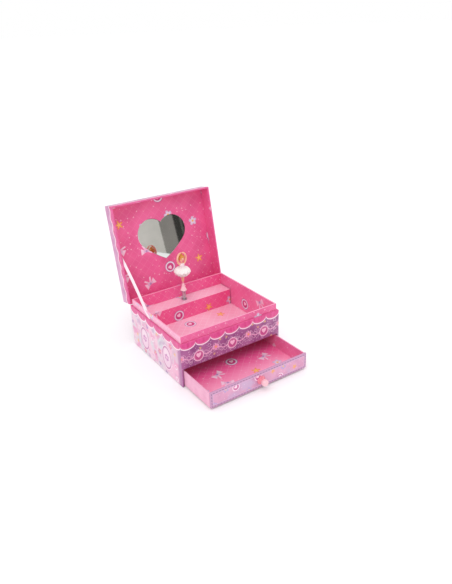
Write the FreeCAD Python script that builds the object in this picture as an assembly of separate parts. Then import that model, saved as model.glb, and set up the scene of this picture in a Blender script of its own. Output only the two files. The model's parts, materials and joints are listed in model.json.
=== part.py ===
"""Wind-up musical jewellery box with a pop-up dancer, a mirror lid and a drawer.

Millimetres. The origin is the middle of the case's underside, +X to the right,
+Y to the back and +Z up. The lid stands open and the drawer is pulled out.
"""
import FreeCAD, Part
import math
import os
from FreeCAD import Vector

os.makedirs("parts", exist_ok=True)

# Driving sizes of the case
CASE_WIDTH = 150.0
CASE_DEPTH = 134.0
CASE_HEIGHT = 60.0
WALL = 2.5
BOTTOM_THICK = 2.0
FASCIA_BOTTOM = 25.0
TRAY_FLOOR_TOP = 29.0
TRAY_FLOOR_THICK = 2.0
NECK_WALL = 2.0
NECK_RISE = 9.0
STAGE_DROP = 8.0
STAGE_BOARD = 2.0
STAGE_DEPTH = 26.0
STAGE_END_GAP = 0.9

# Driving sizes of the lid
LID_DEPTH = 22.5
LID_PANEL_THICK = 2.0
LID_RIM_GAP = 0.4
LID_SWING_CLEARANCE = 0.2
LID_OPEN_ANGLE = 101.0
LINING_THICK = 1.5
MIRROR_WIDTH = 75.0
MIRROR_HEIGHT = 60.4
MIRROR_NOTCH = 7.0
MIRROR_TIP_FROM_HINGE = 44.6
MIRROR_THICK = 1.0
MIRROR_CLEARANCE = 0.15
GEM_WIDTH = 12.0
GEM_HEIGHT = 10.5
GEM_NOTCH = 1.6
GEM_RISE = 3.0
GEM_BEVEL = 1.6
GEM_FROM_MIDDLE = -14.0
GEM_TIP_FROM_BACK = 9.0

# Driving sizes of the hinge cloth and the ribbon
CLOTH_THICK = 0.4
CLOTH_BEAD_RADIUS = 0.6
CLOTH_LEG = 11.0
CLOTH_END_GAP = 3.0
CLOTH_BEAD_CLEARANCE = 0.25
RIBBON_WIDTH = 6.4
RIBBON_THICK = 0.3
RIBBON_FOOT_FROM_BACK = 52.0
RIBBON_TUCK = 8.0
RIBBON_TOP_FROM_HINGE = 67.0
RIBBON_TOP_FROM_RIM = 6.0
RIBBON_SLOT_MARGIN = 1.0

# Driving sizes of the drawer
DRAWER_OUT = 58.5
DRAWER_HEIGHT = 21.6
DRAWER_SIDE_GAP = 0.4
DRAWER_LIFT = 0.4
DRAWER_BACK_GAP = 1.5
DRAWER_FRONT_THICK = 2.5
DRAWER_WALL = 1.8
DRAWER_FLOOR = 1.8
DRAWER_SIDE_DROP = 1.2
KNOB_HEIGHT = 13.0
KNOB_COLLAR_RADIUS = 5.6
KNOB_COLLAR_LENGTH = 2.2
KNOB_STEM_RADIUS = 2.7
KNOB_STEM_LENGTH = 1.9
KNOB_HEAD_RADIUS = 4.5
KNOB_SCREW_RADIUS = 1.1
KNOB_SCREW_DEPTH = 5.0
KNOB_SCREW_HEAD_RADIUS = 2.4
KNOB_SCREW_HEAD_THICK = 1.2
SCREW_HOLE_CLEARANCE = 0.1

# Driving sizes of the movement
BED_WIDTH = 54.0
BED_THICK = 2.0
BED_FLOOR_GAP = 1.0
BED_STAGE_GAP = 1.2
RUNNING_CLEARANCE = 0.05
SIDE_CLEARANCE = 0.35
SPINDLE_FROM_BED = 11.5
CROWN_MODULE = 0.7
CROWN_TEETH = 32
PINION_TEETH = 10
CROWN_FACE = 2.0
CROWN_RIM_SETBACK = 0.04
CROWN_DISC_THICK = 1.5
CROWN_FLOOR_GAP = 0.6
TRAIN_MODULE = 0.4
CYLINDER_TEETH = 40
GOVERNOR_TEETH = 12
WORM_WHEEL_TEETH = 14
GEAR_FACE = 1.5
PINION_FACE = 3.2
LUG_THICK = 1.5
LUG_MARGIN = 2.4
DRUM_RADIUS = 6.0
DRUM_WALL = 0.8
DRUM_PIN_RADIUS = 0.2
DRUM_PIN_RISE = 0.45
DRUM_PIN_TURN = 137.508
DRUM_PINS_PER_TOOTH = 3
CYLINDER_ARBOR_RADIUS = 1.2
SPINDLE_HOLE_CLEARANCE = 0.5
GOVERNOR_ARBOR_RADIUS = 0.7
HOUSING_RADIUS = 9.0
HOUSING_WALL = 0.8
HOUSING_CAP_THICK = 0.8
ARBOR_RADIUS = 1.6
ARBOR_COLLAR_RADIUS = 2.85
SPRING_STRIP = 0.35
SPRING_PITCH = 0.95
SPRING_END_GAP = 0.3
COMB_THICK = 0.8
COMB_TEETH = 14
COMB_SLIT = 0.28
COMB_TOOTH_LENGTH = 8.5
COMB_ROOT_LENGTH = 8.5
COMB_TIP_GAP = 0.2
COMB_SCREW_RADIUS = 1.0
COMB_SCREW_HEAD_RADIUS = 1.9
COMB_SCREW_HEAD_THICK = 1.1
COMB_SCREW_DEPTH = 5.0
WORM_CORE_RADIUS = 1.1
WORM_WIRE_RADIUS = 0.28
WORM_TIP_GAP = 0.12
WORM_TURNS = 5
WORM_SHAFT_RADIUS = 0.6
FLY_RADIUS = 5.0
FLY_LENGTH = 4.5
FLY_BLADE_THICK = 0.5
BRACKET_WIDTH = 5.0
BRACKET_THICK = 1.6
BRACKET_SCREW_RADIUS = 0.9
BRACKET_SCREW_HEAD_RADIUS = 1.7
BRACKET_SCREW_HEAD_THICK = 1.0
BRACKET_FOOT = 5.0
BED_SCREW_RADIUS = 1.2
BED_SCREW_HEAD_RADIUS = 2.6
BED_SCREW_HEAD_RISE = 1.1
BED_SCREW_FROM_EDGE = 4.5

# Driving sizes of the winding key
KEY_HOLE_RADIUS = 4.0
KEY_STANDOFF = 1.6
KEY_HUB_RADIUS = 2.8
KEY_HUB_LENGTH = 6.5
KEY_WING_RADIUS = 5.5
KEY_WING_HOLE_RADIUS = 2.9
KEY_WING_SPACING = 6.8
KEY_WING_THICK = 2.2

# Driving sizes of the pop-up spring and the dancer
CUP_RADIUS = 4.0
CUP_THICK = 1.4
CUP_STAGE_GAP = 0.3
CUP_BOSS_RADIUS = 1.5
CUP_BOSS_RISE = 2.2
POPUP_WIRE_RADIUS = 0.35
POPUP_COIL_RADIUS = 2.3
POPUP_PITCH = 1.25
POPUP_TURNS = 6
FERRULE_RADIUS = 3.2
FERRULE_THICK = 1.4
FERRULE_PIN_RADIUS = 1.0
FERRULE_PIN_LENGTH = 3.5
DANCER_LIFT = 0.2
FOOT_HEIGHT = 10.6
FOOT_BASE_RADIUS = 4.4
FOOT_ANKLE_RADIUS = 1.5
LEG_HEIGHT = 10.5
LEG_HIP_RADIUS = 1.9
HIP_RADIUS = 2.4
BODICE_HEIGHT = 19.0
BODICE_STRAIGHT = 14.25
BODICE_SHOULDER_RADIUS = 2.9
NECK_RADIUS = 1.1
NECK_LENGTH = 4.4
HEAD_RADIUS = 4.3
BUN_RADIUS = 2.1
BUN_BACK_SHARE = 0.45
BUN_RISE_SHARE = 0.95
ARM_RADIUS = 0.95
ARM_ROOT_REACH = 2.03
ARM_ELBOW_REACH = 6.3
ARM_ELBOW_RISE = 11.0
ARM_HAND_RISE = 18.0
ARM_HAND_GAP = 0.7
TUTU_FOLDS = 12
TUTU_RADIUS = 11.6
TUTU_FOLD_DEPTH = 1.1
TUTU_HEIGHT = 15.5
TUTU_DROP = 0.6
TUTU_CLEARANCE = 0.05
TUTU_RIM_SHARES = ((0.0, 0.34), (0.2, 0.86), (0.5, 1.0), (0.78, 0.7), (1.0, 0.3))

# Tooth shape, as shares of the module and of the tooth pitch
TOOTH_ADDENDUM = 0.85
TOOTH_DEDENDUM = 1.2
TOOTH_ROOT_SHARE = 0.23
TOOTH_TIP_SHARE = 0.09

# Where a heart's lobe arc turns into its bowed side, in degrees, and points per edge for a gap
HEART_BOW_ANGLE = 44.0
GAP_POINTS = 8

# Places worked out from the driving sizes
HALF_WIDTH = CASE_WIDTH / 2
HALF_DEPTH = CASE_DEPTH / 2
INNER_X = HALF_WIDTH - WALL
NECK_X = INNER_X - NECK_WALL
FRONT_INNER_Y = WALL - HALF_DEPTH
BACK_INNER_Y = HALF_DEPTH - WALL
NECK_TOP = CASE_HEIGHT + NECK_RISE
STAGE_FRONT_Y = BACK_INNER_Y - STAGE_DEPTH
STAGE_TOP = CASE_HEIGHT - STAGE_DROP
STAGE_UNDERSIDE = STAGE_TOP - STAGE_BOARD

HINGE_Z = CASE_HEIGHT + LID_RIM_GAP / 2
HINGE_POINT = Vector(0, HALF_DEPTH, HINGE_Z)
HINGE_AXIS = Vector(-1, 0, 0)
NECK_SWING = NECK_RISE ** 2 / (2 * (CASE_DEPTH - WALL))
LID_WALL = WALL - NECK_SWING - LID_SWING_CLEARANCE
LID_INNER_X = HALF_WIDTH - LID_WALL
LID_INNER_Y = HALF_DEPTH - LID_WALL
LID_BOTTOM = CASE_HEIGHT + LID_RIM_GAP
LID_TOP = LID_BOTTOM + LID_DEPTH
LID_CEILING = LID_TOP - LID_PANEL_THICK
BEAD_CHAMFER = math.sqrt(2) * (CLOTH_BEAD_RADIUS + CLOTH_BEAD_CLEARANCE)

DRAWER_FRONT_Y = -HALF_DEPTH - DRAWER_OUT
DRAWER_INNER_FRONT_Y = DRAWER_FRONT_Y + DRAWER_FRONT_THICK
DRAWER_BACK_Y = STAGE_FRONT_Y - DRAWER_BACK_GAP - DRAWER_OUT
DRAWER_X = INNER_X - DRAWER_SIDE_GAP
DRAWER_INNER_X = DRAWER_X - DRAWER_WALL
DRAWER_BOTTOM = BOTTOM_THICK + DRAWER_LIFT
DRAWER_TOP = DRAWER_BOTTOM + DRAWER_HEIGHT
DRAWER_SIDE_TOP = DRAWER_TOP - DRAWER_SIDE_DROP

BED_FRONT_Y = BACK_INNER_Y - BED_THICK
BED_BOTTOM = BOTTOM_THICK + BED_FLOOR_GAP
BED_TOP = STAGE_UNDERSIDE - BED_STAGE_GAP
SPINDLE_Y = BED_FRONT_Y - SPINDLE_FROM_BED
CROWN_RADIUS = CROWN_TEETH * CROWN_MODULE / 2
CROWN_RIM_RADIUS = CROWN_RADIUS + CROWN_FACE / 2
DRIVE_Z = BOTTOM_THICK + CROWN_FLOOR_GAP + CROWN_RIM_RADIUS
PINION_RADIUS = PINION_TEETH * CROWN_MODULE / 2
CROWN_PITCH_Y = SPINDLE_Y - PINION_RADIUS
CROWN_TIP_Y = CROWN_PITCH_Y + TOOTH_ADDENDUM * CROWN_MODULE
CROWN_ROOT_Y = CROWN_PITCH_Y - TOOTH_DEDENDUM * CROWN_MODULE
PINION_BOTTOM = DRIVE_Z + CROWN_RADIUS - PINION_FACE / 2
LOWER_LUG_BOTTOM = PINION_BOTTOM + PINION_FACE + SIDE_CLEARANCE
CYLINDER_GEAR_BOTTOM = LOWER_LUG_BOTTOM + LUG_THICK + SIDE_CLEARANCE
DRUM_BOTTOM = CYLINDER_GEAR_BOTTOM + GEAR_FACE
UPPER_LUG_TOP = BED_TOP
UPPER_LUG_BOTTOM = UPPER_LUG_TOP - LUG_THICK
DRUM_TOP = UPPER_LUG_BOTTOM - SIDE_CLEARANCE
DRUM_LENGTH = DRUM_TOP - DRUM_BOTTOM
GOVERNOR_X = -TRAIN_MODULE * (CYLINDER_TEETH + GOVERNOR_TEETH) / 2
WORM_WHEEL_RADIUS = WORM_WHEEL_TEETH * TRAIN_MODULE / 2
WORM_WHEEL_TIP = WORM_WHEEL_RADIUS + TOOTH_ADDENDUM * TRAIN_MODULE
WORM_PITCH_RADIUS = WORM_CORE_RADIUS + WORM_WIRE_RADIUS / 2
WORM_X = GOVERNOR_X - WORM_WHEEL_TIP - WORM_TIP_GAP - WORM_CORE_RADIUS
WORM_Z = (DRUM_BOTTOM + DRUM_TOP) / 2
WORM_PITCH = math.pi * TRAIN_MODULE
WORM_LENGTH = WORM_TURNS * WORM_PITCH
FLY_END_Y = BED_FRONT_Y - SIDE_CLEARANCE
FLY_START_Y = FLY_END_Y - FLY_LENGTH
BRACKET_BACK_Y = SPINDLE_Y - WORM_LENGTH / 2 - SIDE_CLEARANCE - 2 * WORM_WIRE_RADIUS
BRACKET_FRONT_Y = BRACKET_BACK_Y - BRACKET_THICK
BRACKET_POST_X = WORM_X - FLY_RADIUS - 2 * SIDE_CLEARANCE
COMB_TIP_X = DRUM_RADIUS + DRUM_PIN_RISE + COMB_TIP_GAP
COMB_ROOT_X = COMB_TIP_X + COMB_TOOTH_LENGTH
COMB_END_X = COMB_ROOT_X + COMB_ROOT_LENGTH
COMB_BACK_Y = SPINDLE_Y + COMB_THICK / 2
HOUSING_FRONT_Y = CROWN_TIP_Y + HOUSING_CAP_THICK + SIDE_CLEARANCE

CUP_BOTTOM = STAGE_TOP + CUP_STAGE_GAP
CUP_TOP = CUP_BOTTOM + CUP_THICK
POPUP_LEAD = 2 * POPUP_WIRE_RADIUS
POPUP_BEND = 3 * POPUP_WIRE_RADIUS
POPUP_COIL_BOTTOM = CUP_TOP + POPUP_LEAD + POPUP_BEND
POPUP_COIL_TOP = POPUP_COIL_BOTTOM + POPUP_TURNS * POPUP_PITCH
FERRULE_BOTTOM = POPUP_COIL_TOP + POPUP_BEND + POPUP_LEAD
FERRULE_TOP = FERRULE_BOTTOM + FERRULE_THICK
FOOT_BOTTOM = FERRULE_TOP + DANCER_LIFT
ANKLE_Z = FOOT_BOTTOM + FOOT_HEIGHT
HIP_Z = ANKLE_Z + LEG_HEIGHT
SHOULDER_Z = HIP_Z + BODICE_HEIGHT
NECK_BASE_Z = SHOULDER_Z - BODICE_SHOULDER_RADIUS / 3
HEAD_Z = NECK_BASE_Z + NECK_LENGTH + HEAD_RADIUS
TUTU_BOTTOM = HIP_Z - TUTU_DROP

X_AXIS = Vector(1, 0, 0)
Y_AXIS = Vector(0, 1, 0)
Z_AXIS = Vector(0, 0, 1)


# Shape helpers

def board(x_span, y_span, z_span):
    size = [span[1] - span[0] for span in (x_span, y_span, z_span)]
    return Part.makeBox(size[0], size[1], size[2], Vector(x_span[0], y_span[0], z_span[0]))


def rod(radius, start, axis, length):
    return Part.makeCylinder(radius, length, start, axis)


def turned(profile, base, axis):
    """A solid turned about an axis from (radius, distance along the axis) corners."""
    points = [Vector(radius, 0, along) for radius, along in profile]
    face = Part.Face(Part.makePolygon(points + points[:1]))
    solid = face.revolve(Vector(), Z_AXIS, 360)
    return placed(solid, base, axis)


def placed(shape, base, axis):
    """The shape, built about +Z at the origin, moved to a base and turned to an axis."""
    moved = shape.copy()
    moved.Placement = FreeCAD.Placement(base, FreeCAD.Rotation(Z_AXIS, axis))
    return moved


def prism(outline, depth):
    """A straight prism on a closed wire."""
    return Part.Face(outline).extrude(depth)


def joined(shapes):
    return shapes[0].multiFuse(shapes[1:]).removeSplitter()


def opened(shape):
    """A closed-lid shape, swung open about the hinge line."""
    return shape.rotated(HINGE_POINT, HINGE_AXIS, LID_OPEN_ANGLE)


def save(node, shape):
    if not shape.isValid():
        raise ValueError(node + " is not a valid solid")
    shape.exportStep("parts/" + node + ".step")


def heart_wire(width, height, notch, tip, to_lobes, side):
    """A heart of two lobe arcs and two gently bowed sides, from its tip's place."""
    half = width / 2
    lobe_radius = half + notch - math.sqrt(2 * half * notch)
    lobe_x = half - lobe_radius
    lobe_up = height - lobe_radius
    bow_start = math.radians(HEART_BOW_ANGLE)

    def at(x, up):
        return tip + side * x + to_lobes * up

    edges = []
    for sign in (1, -1):
        notch_point = at(0, height - notch)
        crown = at(sign * (lobe_x + lobe_radius * math.cos(bow_start)),
                   lobe_up + lobe_radius * math.sin(bow_start))
        low = at(sign * (lobe_x + lobe_radius * math.cos(bow_start)),
                 lobe_up - lobe_radius * math.sin(bow_start))
        chord = low - tip
        normal_x = lobe_x + lobe_radius * math.cos(bow_start)
        normal_up = lobe_up - lobe_radius * math.sin(bow_start)
        along = normal_x * math.cos(bow_start) - normal_up * math.sin(bow_start)
        bow_radius = chord.Length ** 2 / (2 * along)
        centre = low - (side * sign * math.cos(bow_start) - to_lobes * math.sin(bow_start)) * bow_radius
        middle = (low + tip) * 0.5 - centre
        bow = centre + middle * (bow_radius / middle.Length)
        edges.append(Part.Arc(notch_point, crown, low).toShape())
        edges.append(Part.Arc(low, bow, tip).toShape())
    return Part.Wire(Part.__sortEdges__(edges))


def spur_gear(teeth, module, face, tooth_at):
    """A loose-running spur gear on +Z, with a tooth centred on the angle tooth_at, in degrees."""
    pitch_radius = teeth * module / 2
    tip = pitch_radius + TOOTH_ADDENDUM * module
    root = pitch_radius - TOOTH_DEDENDUM * module
    corners = ((root, -TOOTH_ROOT_SHARE), (tip, -TOOTH_TIP_SHARE),
               (tip, TOOTH_TIP_SHARE), (root, TOOTH_ROOT_SHARE))
    points = []
    for tooth in range(teeth):
        for radius, share in corners:
            angle = math.radians(tooth_at) + (tooth + share) * 2 * math.pi / teeth
            points.append(Vector(radius * math.cos(angle), radius * math.sin(angle), 0))
    return prism(Part.makePolygon(points + points[:1]), Vector(0, 0, face))


def biarc(start, start_way, end, end_way):
    """Two tangent arcs from one point and direction to another."""
    chord = end - start
    square = 2 * (start_way.dot(end_way) - 1)
    slope = -2 * chord.dot(start_way + end_way)
    reach = (-slope - math.sqrt(slope ** 2 - 4 * square * chord.dot(chord))) / (2 * square)
    first = start + start_way * reach
    last = end - end_way * reach
    meet = (first + last) * 0.5
    arcs = []
    for a, corner, b in ((start, first, meet), (meet, last, end)):
        weight = (b - a).Length / (2 * reach)
        middle = (a + corner * (2 * weight) + b) * (1 / (2 + 2 * weight))
        arcs.append(Part.Arc(a, middle, b).toShape())
    return arcs


def helix_point(radius, pitch, turn):
    angle = 2 * math.pi * turn
    return Vector(radius * math.cos(angle), radius * math.sin(angle), pitch * turn)


def helix_way(radius, pitch, turn):
    angle = 2 * math.pi * turn
    way = Vector(-radius * math.sin(angle), radius * math.cos(angle), pitch / (2 * math.pi))
    return way.normalize()


def coil_edges(radius, pitch, turns):
    """A helix about +Z from the origin's level, as biarcs of a quarter turn."""
    edges = []
    for step in range(4 * turns):
        a = step / 4
        b = (step + 1) / 4
        edges += biarc(helix_point(radius, pitch, a), helix_way(radius, pitch, a),
                       helix_point(radius, pitch, b), helix_way(radius, pitch, b))
    return edges


def wire_tube(edges, radius):
    """One unbroken round wire along a path of joined edges."""
    path = Part.Wire(edges)
    start = edges[0].valueAt(edges[0].FirstParameter)
    way = edges[0].tangentAt(edges[0].FirstParameter)
    section = Part.Wire(Part.makeCircle(radius, start, way))
    return path.makePipeShell([section], True, False)


def report_least_gap(name, edges, radius, turn_length):
    """Prints the least clear gap between a wound wire's neighbouring turns."""
    points = []
    walked = 0.0
    for edge in edges:
        count = GAP_POINTS
        for step in range(count):
            share = step / count
            points.append((walked + edge.Length * share, edge.valueAt(
                edge.FirstParameter + (edge.LastParameter - edge.FirstParameter) * share)))
        walked += edge.Length
    least = min((p - q).Length for a, p in points for b, q in points if b - a > turn_length / 2)
    print(name, "least gap to itself", round(least - 2 * radius, 3), "mm")


# Case boards

def make_case():
    across = (-INNER_X, INNER_X)
    save("case_bottom", board(across, (-HALF_DEPTH, BACK_INNER_Y), (0, BOTTOM_THICK)))
    right_wall = board((INNER_X, HALF_WIDTH), (-HALF_DEPTH, HALF_DEPTH), (0, CASE_HEIGHT))
    left_wall = board((-HALF_WIDTH, -INNER_X), (-HALF_DEPTH, HALF_DEPTH), (0, CASE_HEIGHT))
    save("case_right_wall", right_wall)
    save("case_left_wall", left_wall.cut(ribbon_slot()))
    save("case_back_wall", back_wall(across))
    save("case_front_fascia", board(across, (-HALF_DEPTH, FRONT_INNER_Y), (FASCIA_BOTTOM, CASE_HEIGHT)))


def back_wall(across):
    """The back wall, with the key's hole, the screw holes and room for the hinge bead."""
    wall = board(across, (BACK_INNER_Y, HALF_DEPTH), (0, CASE_HEIGHT))
    wall = wall.cut(rod(KEY_HOLE_RADIUS, Vector(0, BACK_INNER_Y, DRIVE_Z), Y_AXIS, WALL))
    for place in bed_screw_places():
        hole_radius = BED_SCREW_RADIUS + SCREW_HOLE_CLEARANCE
        wall = wall.cut(rod(hole_radius, Vector(place[0], BACK_INNER_Y, place[1]), Y_AXIS, WALL))
    return wall.cut(bead_room(across, -1))


def bead_room(across, upward):
    """A corner prism along the hinge line, taken off the case's or the lid's back edge."""
    corners = ((0, 0), (-BEAD_CHAMFER, 0), (0, upward * BEAD_CHAMFER))
    points = [Vector(across[0], HALF_DEPTH + y, HINGE_Z + z) for y, z in corners]
    return prism(Part.makePolygon(points + points[:1]), Vector(across[1] - across[0], 0, 0))


def make_neck_and_stage():
    tray_y = (FRONT_INNER_Y, STAGE_FRONT_Y)
    tray_z = (TRAY_FLOOR_TOP - TRAY_FLOOR_THICK, TRAY_FLOOR_TOP)
    save("tray_floor", board((-INNER_X, INNER_X), tray_y, tray_z))
    neck_z = (TRAY_FLOOR_TOP, NECK_TOP)
    neck_y = (FRONT_INNER_Y, BACK_INNER_Y)
    save("neck_left", board((-INNER_X, -NECK_X), neck_y, neck_z))
    save("neck_right", board((NECK_X, INNER_X), neck_y, neck_z))
    between = (-NECK_X, NECK_X)
    save("neck_front", board(between, (FRONT_INNER_Y, FRONT_INNER_Y + NECK_WALL), neck_z))
    save("neck_back", board(between, (BACK_INNER_Y - NECK_WALL, BACK_INNER_Y), (STAGE_TOP, NECK_TOP)))
    stage_x = (-NECK_X + STAGE_END_GAP, NECK_X - STAGE_END_GAP)
    stage_front_y = (STAGE_FRONT_Y, STAGE_FRONT_Y + STAGE_BOARD)
    save("stage_front", board(stage_x, stage_front_y, (BOTTOM_THICK, STAGE_UNDERSIDE)))
    top = board(stage_x, (STAGE_FRONT_Y, BACK_INNER_Y), (STAGE_UNDERSIDE, STAGE_TOP))
    hole_radius = CYLINDER_ARBOR_RADIUS + SPINDLE_HOLE_CLEARANCE
    save("stage_top", top.cut(rod(hole_radius, Vector(0, SPINDLE_Y, STAGE_UNDERSIDE), Z_AXIS, STAGE_BOARD)))


# Lid

def make_lid():
    wall_z = (LID_BOTTOM, LID_CEILING)
    whole_x = (-HALF_WIDTH, HALF_WIDTH)
    whole_y = (-HALF_DEPTH, HALF_DEPTH)
    between = (-LID_INNER_X, LID_INNER_X)
    back = board(between, (LID_INNER_Y, HALF_DEPTH), wall_z).cut(bead_room(between, 1))
    save("lid_panel", opened(board(whole_x, whole_y, (LID_CEILING, LID_TOP))))
    save("lid_left_wall", opened(board((-HALF_WIDTH, -LID_INNER_X), whole_y, wall_z)))
    save("lid_right_wall", opened(board((LID_INNER_X, HALF_WIDTH), whole_y, wall_z)))
    save("lid_front_wall", opened(board(between, (-HALF_DEPTH, -LID_INNER_Y), wall_z)))
    save("lid_back_wall", opened(back))
    lining_bottom = LID_CEILING - LINING_THICK
    lining = board(between, (-LID_INNER_Y, LID_INNER_Y), (lining_bottom, LID_CEILING))
    window = prism(mirror_wire(lining_bottom, 0), Vector(0, 0, LINING_THICK))
    save("lid_lining", opened(lining.cut(window)))
    mirror = prism(mirror_wire(LID_CEILING - MIRROR_THICK, MIRROR_CLEARANCE), Vector(0, 0, MIRROR_THICK))
    save("heart_mirror", opened(mirror))
    save("heart_gem", opened(heart_gem()))


def mirror_wire(level, inset):
    tip = Vector(0, HALF_DEPTH - MIRROR_TIP_FROM_HINGE - inset, level)
    return heart_wire(MIRROR_WIDTH - 2 * inset, MIRROR_HEIGHT - 2 * inset, MIRROR_NOTCH,
                      tip, Vector(0, -1, 0), X_AXIS)


def heart_gem():
    """A faceted heart jewel on the lid's top, its tip towards the back edge."""
    tip = Vector(GEM_FROM_MIDDLE, HALF_DEPTH - GEM_TIP_FROM_BACK, LID_TOP)
    outline = heart_wire(GEM_WIDTH, GEM_HEIGHT, GEM_NOTCH, tip, Vector(0, -1, 0), X_AXIS)
    table_share = 1 - 2 * GEM_BEVEL / GEM_HEIGHT
    table_tip = tip + Vector(0, -GEM_BEVEL, GEM_RISE)
    table = heart_wire(GEM_WIDTH * table_share, GEM_HEIGHT * table_share, GEM_NOTCH * table_share,
                       table_tip, Vector(0, -1, 0), X_AXIS)
    return Part.makeLoft([outline, table], True, True)


# Hinge cloth and ribbon

def make_hinge_cloth():
    """A thin strip in the corner behind the hinge, with a round bead along the hinge line."""
    length = 2 * (INNER_X - CLOTH_END_GAP)
    start_x = CLOTH_END_GAP - INNER_X
    bead = rod(CLOTH_BEAD_RADIUS, Vector(start_x, HALF_DEPTH, HINGE_Z), X_AXIS, length)
    strip_y = (HALF_DEPTH, HALF_DEPTH + CLOTH_THICK)
    lower = board((start_x, start_x + length), strip_y, (HINGE_Z - CLOTH_LEG, HINGE_Z))
    upper = board((start_x, start_x + length), strip_y, (HINGE_Z, HINGE_Z + CLOTH_LEG))
    save("hinge_cloth", joined([bead, lower, opened(upper)]))


def ribbon_line():
    """The ribbon's foot at the case's top edge, its top on the lid wall, and its direction."""
    foot = Vector(0, HALF_DEPTH - RIBBON_FOOT_FROM_BACK, CASE_HEIGHT)
    closed_top = Vector(0, HALF_DEPTH - RIBBON_TOP_FROM_HINGE, LID_BOTTOM + RIBBON_TOP_FROM_RIM)
    turn = FreeCAD.Rotation(HINGE_AXIS, LID_OPEN_ANGLE)
    top = HINGE_POINT + turn.multVec(closed_top - HINGE_POINT)
    way = top - foot
    return foot, top, way.normalize()


def ribbon_x():
    """The middle of the narrow space between the lid's left wall and the neck."""
    return -(LID_INNER_X + INNER_X) / 2


def ribbon_tuck_point():
    foot, top, way = ribbon_line()
    return foot - way * (RIBBON_TUCK / way.z)


def make_ribbon():
    foot, top, way = ribbon_line()
    start = ribbon_tuck_point() + Vector(ribbon_x() - RIBBON_THICK / 2, 0, 0)
    across = Vector(0, way.z, -way.y)
    corner = start - across * (RIBBON_WIDTH / 2)
    points = [corner, corner + across * RIBBON_WIDTH]
    points += [points[1] + Vector(RIBBON_THICK, 0, 0), points[0] + Vector(RIBBON_THICK, 0, 0)]
    section = Part.makePolygon(points + points[:1])
    save("lid_ribbon", prism(section, top - ribbon_tuck_point()))


def ribbon_slot():
    """The slot in the left wall's inner face that the ribbon's end is tucked into."""
    foot, top, way = ribbon_line()
    tuck = ribbon_tuck_point()
    half = RIBBON_WIDTH / way.z / 2 + RIBBON_SLOT_MARGIN
    depth_x = (ribbon_x() - RIBBON_THICK / 2 - SCREW_HOLE_CLEARANCE, -INNER_X)
    low_z = tuck.z - RIBBON_WIDTH / 2 - RIBBON_SLOT_MARGIN
    return board(depth_x, (tuck.y - half, foot.y + half), (low_z, CASE_HEIGHT))


# Drawer

def make_drawer():
    inner_y = (DRAWER_INNER_FRONT_Y, DRAWER_BACK_Y - DRAWER_WALL)
    side_z = (DRAWER_BOTTOM, DRAWER_SIDE_TOP)
    side_y = (DRAWER_INNER_FRONT_Y, DRAWER_BACK_Y)
    front_y = (DRAWER_FRONT_Y, DRAWER_INNER_FRONT_Y)
    front = board((-DRAWER_X, DRAWER_X), front_y, (DRAWER_BOTTOM, DRAWER_TOP))
    hole_radius = KNOB_SCREW_RADIUS + SCREW_HOLE_CLEARANCE
    knob_seat = Vector(0, DRAWER_FRONT_Y, KNOB_HEIGHT)
    save("drawer_front", front.cut(rod(hole_radius, knob_seat, Y_AXIS, DRAWER_FRONT_THICK)))
    save("drawer_left_wall", board((-DRAWER_X, -DRAWER_INNER_X), side_y, side_z))
    save("drawer_right_wall", board((DRAWER_INNER_X, DRAWER_X), side_y, side_z))
    inner_x = (-DRAWER_INNER_X, DRAWER_INNER_X)
    save("drawer_back_wall", board(inner_x, (DRAWER_BACK_Y - DRAWER_WALL, DRAWER_BACK_Y), side_z))
    save("drawer_bottom", board(inner_x, inner_y, (DRAWER_BOTTOM, DRAWER_BOTTOM + DRAWER_FLOOR)))
    save("drawer_knob", knob(knob_seat, hole_radius))
    save("knob_screw", knob_screw(knob_seat))


def knob(seat, hole_radius):
    """A round pull: collar, waisted stem and ball, drilled from behind for its screw."""
    out = -Y_AXIS
    stem_end = KNOB_COLLAR_LENGTH + KNOB_STEM_LENGTH
    ball_centre = stem_end + math.sqrt(KNOB_HEAD_RADIUS ** 2 - KNOB_STEM_RADIUS ** 2)
    pieces = [
        rod(KNOB_COLLAR_RADIUS, seat, out, KNOB_COLLAR_LENGTH),
        rod(KNOB_STEM_RADIUS, seat, out, ball_centre),
        Part.makeSphere(KNOB_HEAD_RADIUS, seat + out * ball_centre),
    ]
    return joined(pieces).cut(rod(hole_radius, seat, out, KNOB_SCREW_DEPTH))


def knob_screw(seat):
    inside = seat + Y_AXIS * DRAWER_FRONT_THICK
    head = rod(KNOB_SCREW_HEAD_RADIUS, inside, Y_AXIS, KNOB_SCREW_HEAD_THICK)
    shank = rod(KNOB_SCREW_RADIUS, inside, -Y_AXIS, DRAWER_FRONT_THICK + KNOB_SCREW_DEPTH - SIDE_CLEARANCE)
    return joined([head, shank])


# Movement: fixed pieces

def bed_screw_places():
    side = BED_WIDTH / 2 - BED_SCREW_FROM_EDGE
    low = BED_BOTTOM + BED_SCREW_FROM_EDGE
    high = BED_TOP - BED_SCREW_FROM_EDGE
    return ((-side, low), (side, low), (-side, high), (side, high))


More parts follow.
